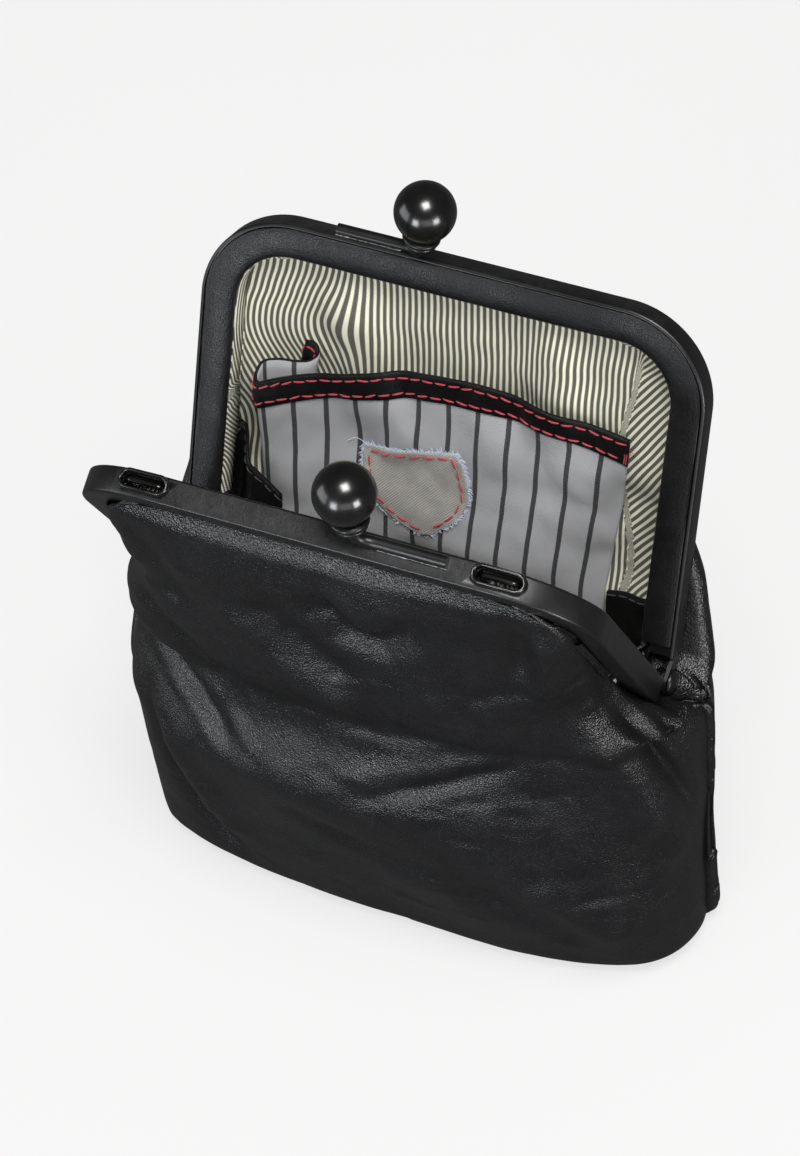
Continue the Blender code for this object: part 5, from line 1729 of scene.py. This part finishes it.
def run_stitches(pile, line, ways, long, space, radius, wander):
    """Running stitches along a line of points on a surface."""
    lengths = [0]
    for a, b in zip(line, line[1:]):
        lengths.append(lengths[-1] + (b - a).length)

    def at(distance):
        k = max(n for n in range(len(lengths) - 1) if lengths[n] <= distance)
        share = (distance - lengths[k]) / max(lengths[k + 1] - lengths[k], 1e-9)
        return line[k].lerp(line[k + 1], share), ways[k].lerp(ways[k + 1], share).normalized()

    place = space
    while place + long < lengths[-1]:
        tilt = random.uniform(-wander, wander)
        points, radii = [], []
        for n in range(7):
            t = n / 6
            spot, way = at(place + long * t)
            ahead = at(min(place + long * t + STITCH_AHEAD, lengths[-1]))[0] - spot
            across = way.cross(ahead).normalized() if ahead.length > 0 else Vector()
            lift = radius * (0.2 + 1.1 * math.sin(math.pi * t) ** 0.5) - radius * 0.5
            points.append(spot + way * lift + across * tilt * (t - 0.5))
            radii.append(radius * (0.35 + 0.65 * math.sin(math.pi * mix(0.06, 0.94, t)) ** 0.5))
        pile.rings(tube_rings(points, radii, 7))
        place += long + space * random.uniform(0.8, 1.25)


PATCH_WIDTH = 27 * MM
PATCH_HEIGHT = 25 * MM
PATCH_TOP = 37.5 * MM
PATCH_SIDE = -11 * MM
PATCH_TURN = math.radians(10)
PATCH_WALL = 0.7 * MM
PATCH_STATION_SHARES = (0, 0.08, 0.4, 0.62, 0.82, 0.95, 1)
PATCH_WIDTH_SHARES = (0.9, 0.99, 1, 0.9, 0.6, 0.22, 0.04)
BORDER_SHARE = 0.87
FRAY_COUNT = 620
FRAY_RADII = (0.14 * MM, 0.12 * MM, 0.1 * MM, 0.05 * MM)
FRAY_SUNK = 0.25 * MM
PATCH_STEPS = 36
PATCH_PROBE = 5 * MM
SIDE_SPOTS, TOP_SPOTS = 34, 22
PATCH_UNEVEN, PATCH_CLOUD = 0.16 * MM, 5 * MM
LOOSE_REACH, LOOSE_RISE = 6.5 * MM, 2.2 * MM
LOOSE_RADIUS, LOOSE_OVER = 0.09 * MM, 0.5 * MM


def patch_outline(share):
    """Half the width of the shield at a share of the way down it."""
    return PATCH_WIDTH / 2 * along(PATCH_STATION_SHARES, PATCH_WIDTH_SHARES, share)


def patch_place(cloth, across, below):
    """A point in the shield's own plane, laid on the pocket."""
    x = PATCH_SIDE + across * math.cos(PATCH_TURN) + below * math.sin(PATCH_TURN)
    up = PATCH_TOP + across * math.sin(PATCH_TURN) - below * math.cos(PATCH_TURN)
    start = frame_point(REAR, x, up, -PATCH_PROBE)
    way = frame_way(REAR, 0, 1).normalized()
    place, normal = cloth.ray_cast(start, way)[:2]
    if place is None:
        return start, -way
    return place, (normal if normal.dot(way) < 0 else -normal)


def build_patch(grid):
    """Cotton shield on the pocket, with its stitched border and frayed edge."""
    cloth = tree_of(grid)
    rows, columns = PATCH_STEPS, PATCH_STEPS
    points, normals = [], []
    for j in range(rows + 1):
        down = j / rows
        half = patch_outline(down) * (1 + 0.012 * math.sin(j * 2.3))
        for k in range(columns + 1):
            across = mix(-half, half, k / columns)
            place, normal = patch_place(cloth, across, PATCH_HEIGHT * down)
            points.append(tuple(place + normal * PATCH_WALL))
            normals.append(tuple(normal))
    sheet = np.array(points).reshape(rows + 1, columns + 1, 3)
    ways = np.array(normals).reshape(rows + 1, columns + 1, 3)
    sheet = sheet + ways * (PATCH_UNEVEN * clouds(sheet, PATCH_CLOUD, 41))[..., None]
    run = flat_places(sheet)
    patch = closed_sheet("pocket_patch_cotton", sheet, ways, 0, PATCH_WALL * 0.8, COTTON, run)
    border, border_ways = patch_ring(cloth, BORDER_SHARE)
    rim, rim_ways = patch_ring(cloth, 1)
    stitches = Pile()
    run_stitches(stitches, border, border_ways, *PATCH_STITCH)
    seams = stitches.piece("patch_stitches", RED_THREAD, 80)
    edge = frayed_edge(rim, rim_ways).piece("patch_frayed_edge", BLUE_THREAD, 80)
    for thing in (patch, seams, edge):
        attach(thing, "rear_half")
    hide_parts("pocket_patch")
    declare_sheet(sheet)


def patch_ring(cloth, share):
    """Points and normals round the shield, drawn in to a share of its size."""
    loop = [(-1, d) for d in np.linspace(1, 0, SIDE_SPOTS)]
    loop += [(s, 0) for s in np.linspace(-1, 1, TOP_SPOTS)[1:-1]]
    loop += [(1, d) for d in np.linspace(0, 1, SIDE_SPOTS)]
    middle = PATCH_HEIGHT * 0.45
    line, ways = [], []
    for sign, down in loop:
        across, below = sign * patch_outline(down), PATCH_HEIGHT * down
        place, normal = patch_place(cloth, across * share, middle + (below - middle) * share)
        line.append(place + normal * PATCH_WALL)
        ways.append(normal)
    return line + line[:1], ways + ways[:1]


def frayed_edge(rim, rim_ways):
    """Short bent threads all round the patch, and one long loose one."""
    fray = Pile()
    centre = sum(rim[:-1], Vector()) / len(rim[:-1])
    for _ in range(FRAY_COUNT):
        k = random.randrange(len(rim) - 1)
        start = rim[k].lerp(rim[k + 1], random.random())
        outward = (start - centre).normalized()
        sideways = outward.cross(rim_ways[k])
        reach = random.uniform(0.5, 1.6) * MM
        bend = random.uniform(-0.9, 0.9)
        lift = random.uniform(-0.35, 0.25)
        route = []
        for t in (0, 0.35, 0.7, 1):
            step = outward * reach * (t - 0.35) + sideways * reach * bend * t * t
            route.append(start + step + rim_ways[k] * (lift * reach * t - FRAY_SUNK))
        fray.rings(tube_rings(route, list(FRAY_RADII), 4))
    loose = []
    for t in np.linspace(0, 1, 14):
        step = Vector((-LOOSE_REACH * t, 0, LOOSE_RISE * math.sin(3.6 * t)))
        loose.append(rim[SIDE_SPOTS] + step + rim_ways[SIDE_SPOTS] * LOOSE_OVER)
    return fray.rings(tube_rings(loose, LOOSE_RADIUS, 5))


FACING_SHAPES = (
    # sign, side, top at the frame, top at the inner end, inner end, bottom, standoff there, in mm
    (-1, "left", 31, 16, 42, -26, 13.5),
    (1, "right", 8.5, 2, 41, -26, 3),
)
FACING_OUTER = 57.2 * MM
FACING_LIP_OUT, FACING_LIP_LEAST = 2.6 * MM, -3 * MM
FACING_ROWS, FACING_COLUMNS, FACING_LIP_COLUMNS = 24, 22, 4
FACING_WALL = 0.8 * MM
FACING_STANDOFF_MM = 1.2


def build_facings(tree):
    """Leather facings beside the hinges, from the lip back to the lining, before the pocket's foot."""
    for sign, label, outer_top, inner_top, inner, bottom, off in FACING_SHAPES:
        grid = []
        for j in range(FACING_ROWS + 1):
            row = []
            for k in range(FACING_COLUMNS + 1):
                t = max((k - FACING_LIP_COLUMNS) / (FACING_COLUMNS - FACING_LIP_COLUMNS), 0)
                x = mix(FACING_OUTER, inner * MM, t)
                top = mix(outer_top, inner_top, t) * MM
                up = mix(top, bottom * MM, j / FACING_ROWS)
                standoff = mix(FACING_STANDOFF_MM, off, smooth(t * 2.2)) * MM
                spot = rest_on(tree, sign * x, up, standoff)
                if k < FACING_LIP_COLUMNS:
                    lip = frame_point(REAR, sign * x, max(up, FACING_LIP_LEAST), FACING_LIP_OUT)
                    spot = lip.lerp(spot, k / FACING_LIP_COLUMNS)
                row.append(tuple(spot))
            grid.append(row)
        grid = blurred(np.array(grid), 3, 2)
        normals = grid_normals(grid, -REAR)
        run = flat_places(grid)
        thing = closed_sheet("facing_leather_" + label, grid, normals, 0, FACING_WALL, BAND_LOOK, run)
        pile = Pile()
        line = [Vector(p) for p in grid[1]]
        run_stitches(pile, line, [Vector(n) for n in normals[1]], *FACING_STITCH)
        seam = pile.piece("facing_stitches_" + label, BLACK_THREAD, 80)
        for piece in (thing, seam):
            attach(piece, "rear_half")
        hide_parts("gusset_facing_" + label)


def dress_kept_nodes():
    """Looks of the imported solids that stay."""
    looks = {"hinge_washer_left": PAINT, "hinge_washer_right": PAINT}
    for name in frame["nodes"]:
        if "channel_cord" in name:
            looks[name] = PAPER
    for name, look in looks.items():
        thing = frame["nodes"][name]
        thing.data.materials.clear()
        thing.data.materials.append(look)


# Stage
BACKDROP = 0.888
WORLD_FILL = 0.42
GLOSS_FILL, GLOSS_FLOOR = 0.11, 0.12
FLOOR_SHARE = 0.22
FLOOR_HALF, FLOOR_DROP = 3, 0.1 * MM


def by_ray(look, kind, surface, gloss, share=1):
    """A plain pale backdrop for the camera, a dim one in reflections and the lit surface elsewhere."""
    path = look.node("LightPath")
    plain = look.node(kind, Color=(BACKDROP, BACKDROP, BACKDROP, 1), Strength=1)
    seen = path.outputs["Is Camera Ray"]
    if share < 1:
        seen = look.math("MULTIPLY", seen, share)
    dim = look.node(kind, Strength=gloss)
    for chosen, other in ((path.outputs["Is Glossy Ray"], dim), (seen, plain)):
        mixed = look.node("MixShader")
        for socket, source in zip(mixed.inputs, (chosen, surface, other.outputs[0])):
            look.links.new(source, socket)
        surface = mixed.outputs[0]
    return surface


def add_stage():
    """Floor and world."""
    made = bpy.data.meshes.new("floor")
    corners = ((-1, -1), (1, -1), (1, 1), (-1, 1))
    made.from_pydata([(x * FLOOR_HALF, y * FLOOR_HALF, 0) for x, y in corners], [], [(0, 1, 2, 3)])
    floor = bpy.data.objects.new("floor", made)
    bpy.context.scene.collection.objects.link(floor)
    floor.location.z = -FLOOR_DROP
    look = Look(bpy.data.materials.new("pale_floor"))
    made.materials.append(look.surface({"Base Color": grey(0.66), "Roughness": 0.9}))
    lit = by_ray(look, "Emission", look.shader.outputs[0], GLOSS_FLOOR, 1 - FLOOR_SHARE)
    look.links.new(lit, look.nodes["Material Output"].inputs[0])

    look = Look(bpy.data.worlds.new("studio"), "Background")
    world = look.surface({"Color": grey(1), "Strength": WORLD_FILL})
    lit = by_ray(look, "Background", look.shader.outputs[0], GLOSS_FILL)
    look.links.new(lit, look.nodes["World Output"].inputs[0])
    bpy.context.scene.world = world


def soft_box(name, way, distance, size, power, colour):
    data = bpy.data.lights.new(name, "AREA")
    data.shape = "RECTANGLE"
    data.size, data.size_y = size
    data.energy = power
    data.color = colour
    lamp = bpy.data.objects.new(name, data)
    bpy.context.scene.collection.objects.link(lamp)
    way = Vector(way).normalized()
    aim = Vector((0, 0, HINGE_HEIGHT))
    lamp.location = aim + way * distance
    lamp.rotation_euler = way.to_track_quat("Z", "Y").to_euler()
    return lamp


def add_lights():
    soft_box("overhead_box", (0.22, -0.23, 0.95), 1.5, (0.6, 0.6), 27, (1, 0.99, 0.97))
    soft_box("left_box", (-0.19, -0.98, 0.06), 1.5, (0.5, 0.7), 16, (0.92, 0.96, 1))
    soft_box("right_box", (0.87, -0.46, 0.02), 1.5, (0.5, 0.7), 20, (1, 1, 1))
    soft_box("left_wall", (-0.86, -0.5, 0.12), 1.8, (1.4, 1.2), 16, (0.96, 0.98, 1))
    soft_box("front_wall", (0.45, -0.89, 0.05), 1.8, (1.2, 1), 7, (1, 1, 1))


add_camera()
add_stage()
add_lights()
build_frames()
build_clasps()
build_hinges()
build_strap_eyes()
build_lips()
LININGS, SKINS = build_skins()
build_gusset_webs(SKINS)
POCKET_GRID = build_pocket(tree_of(LININGS[REAR]))
build_patch(POCKET_GRID)
build_facings(tree_of(LININGS[REAR]))
dress_kept_nodes()
bpy.context.scene.view_settings.view_transform = "Standard"
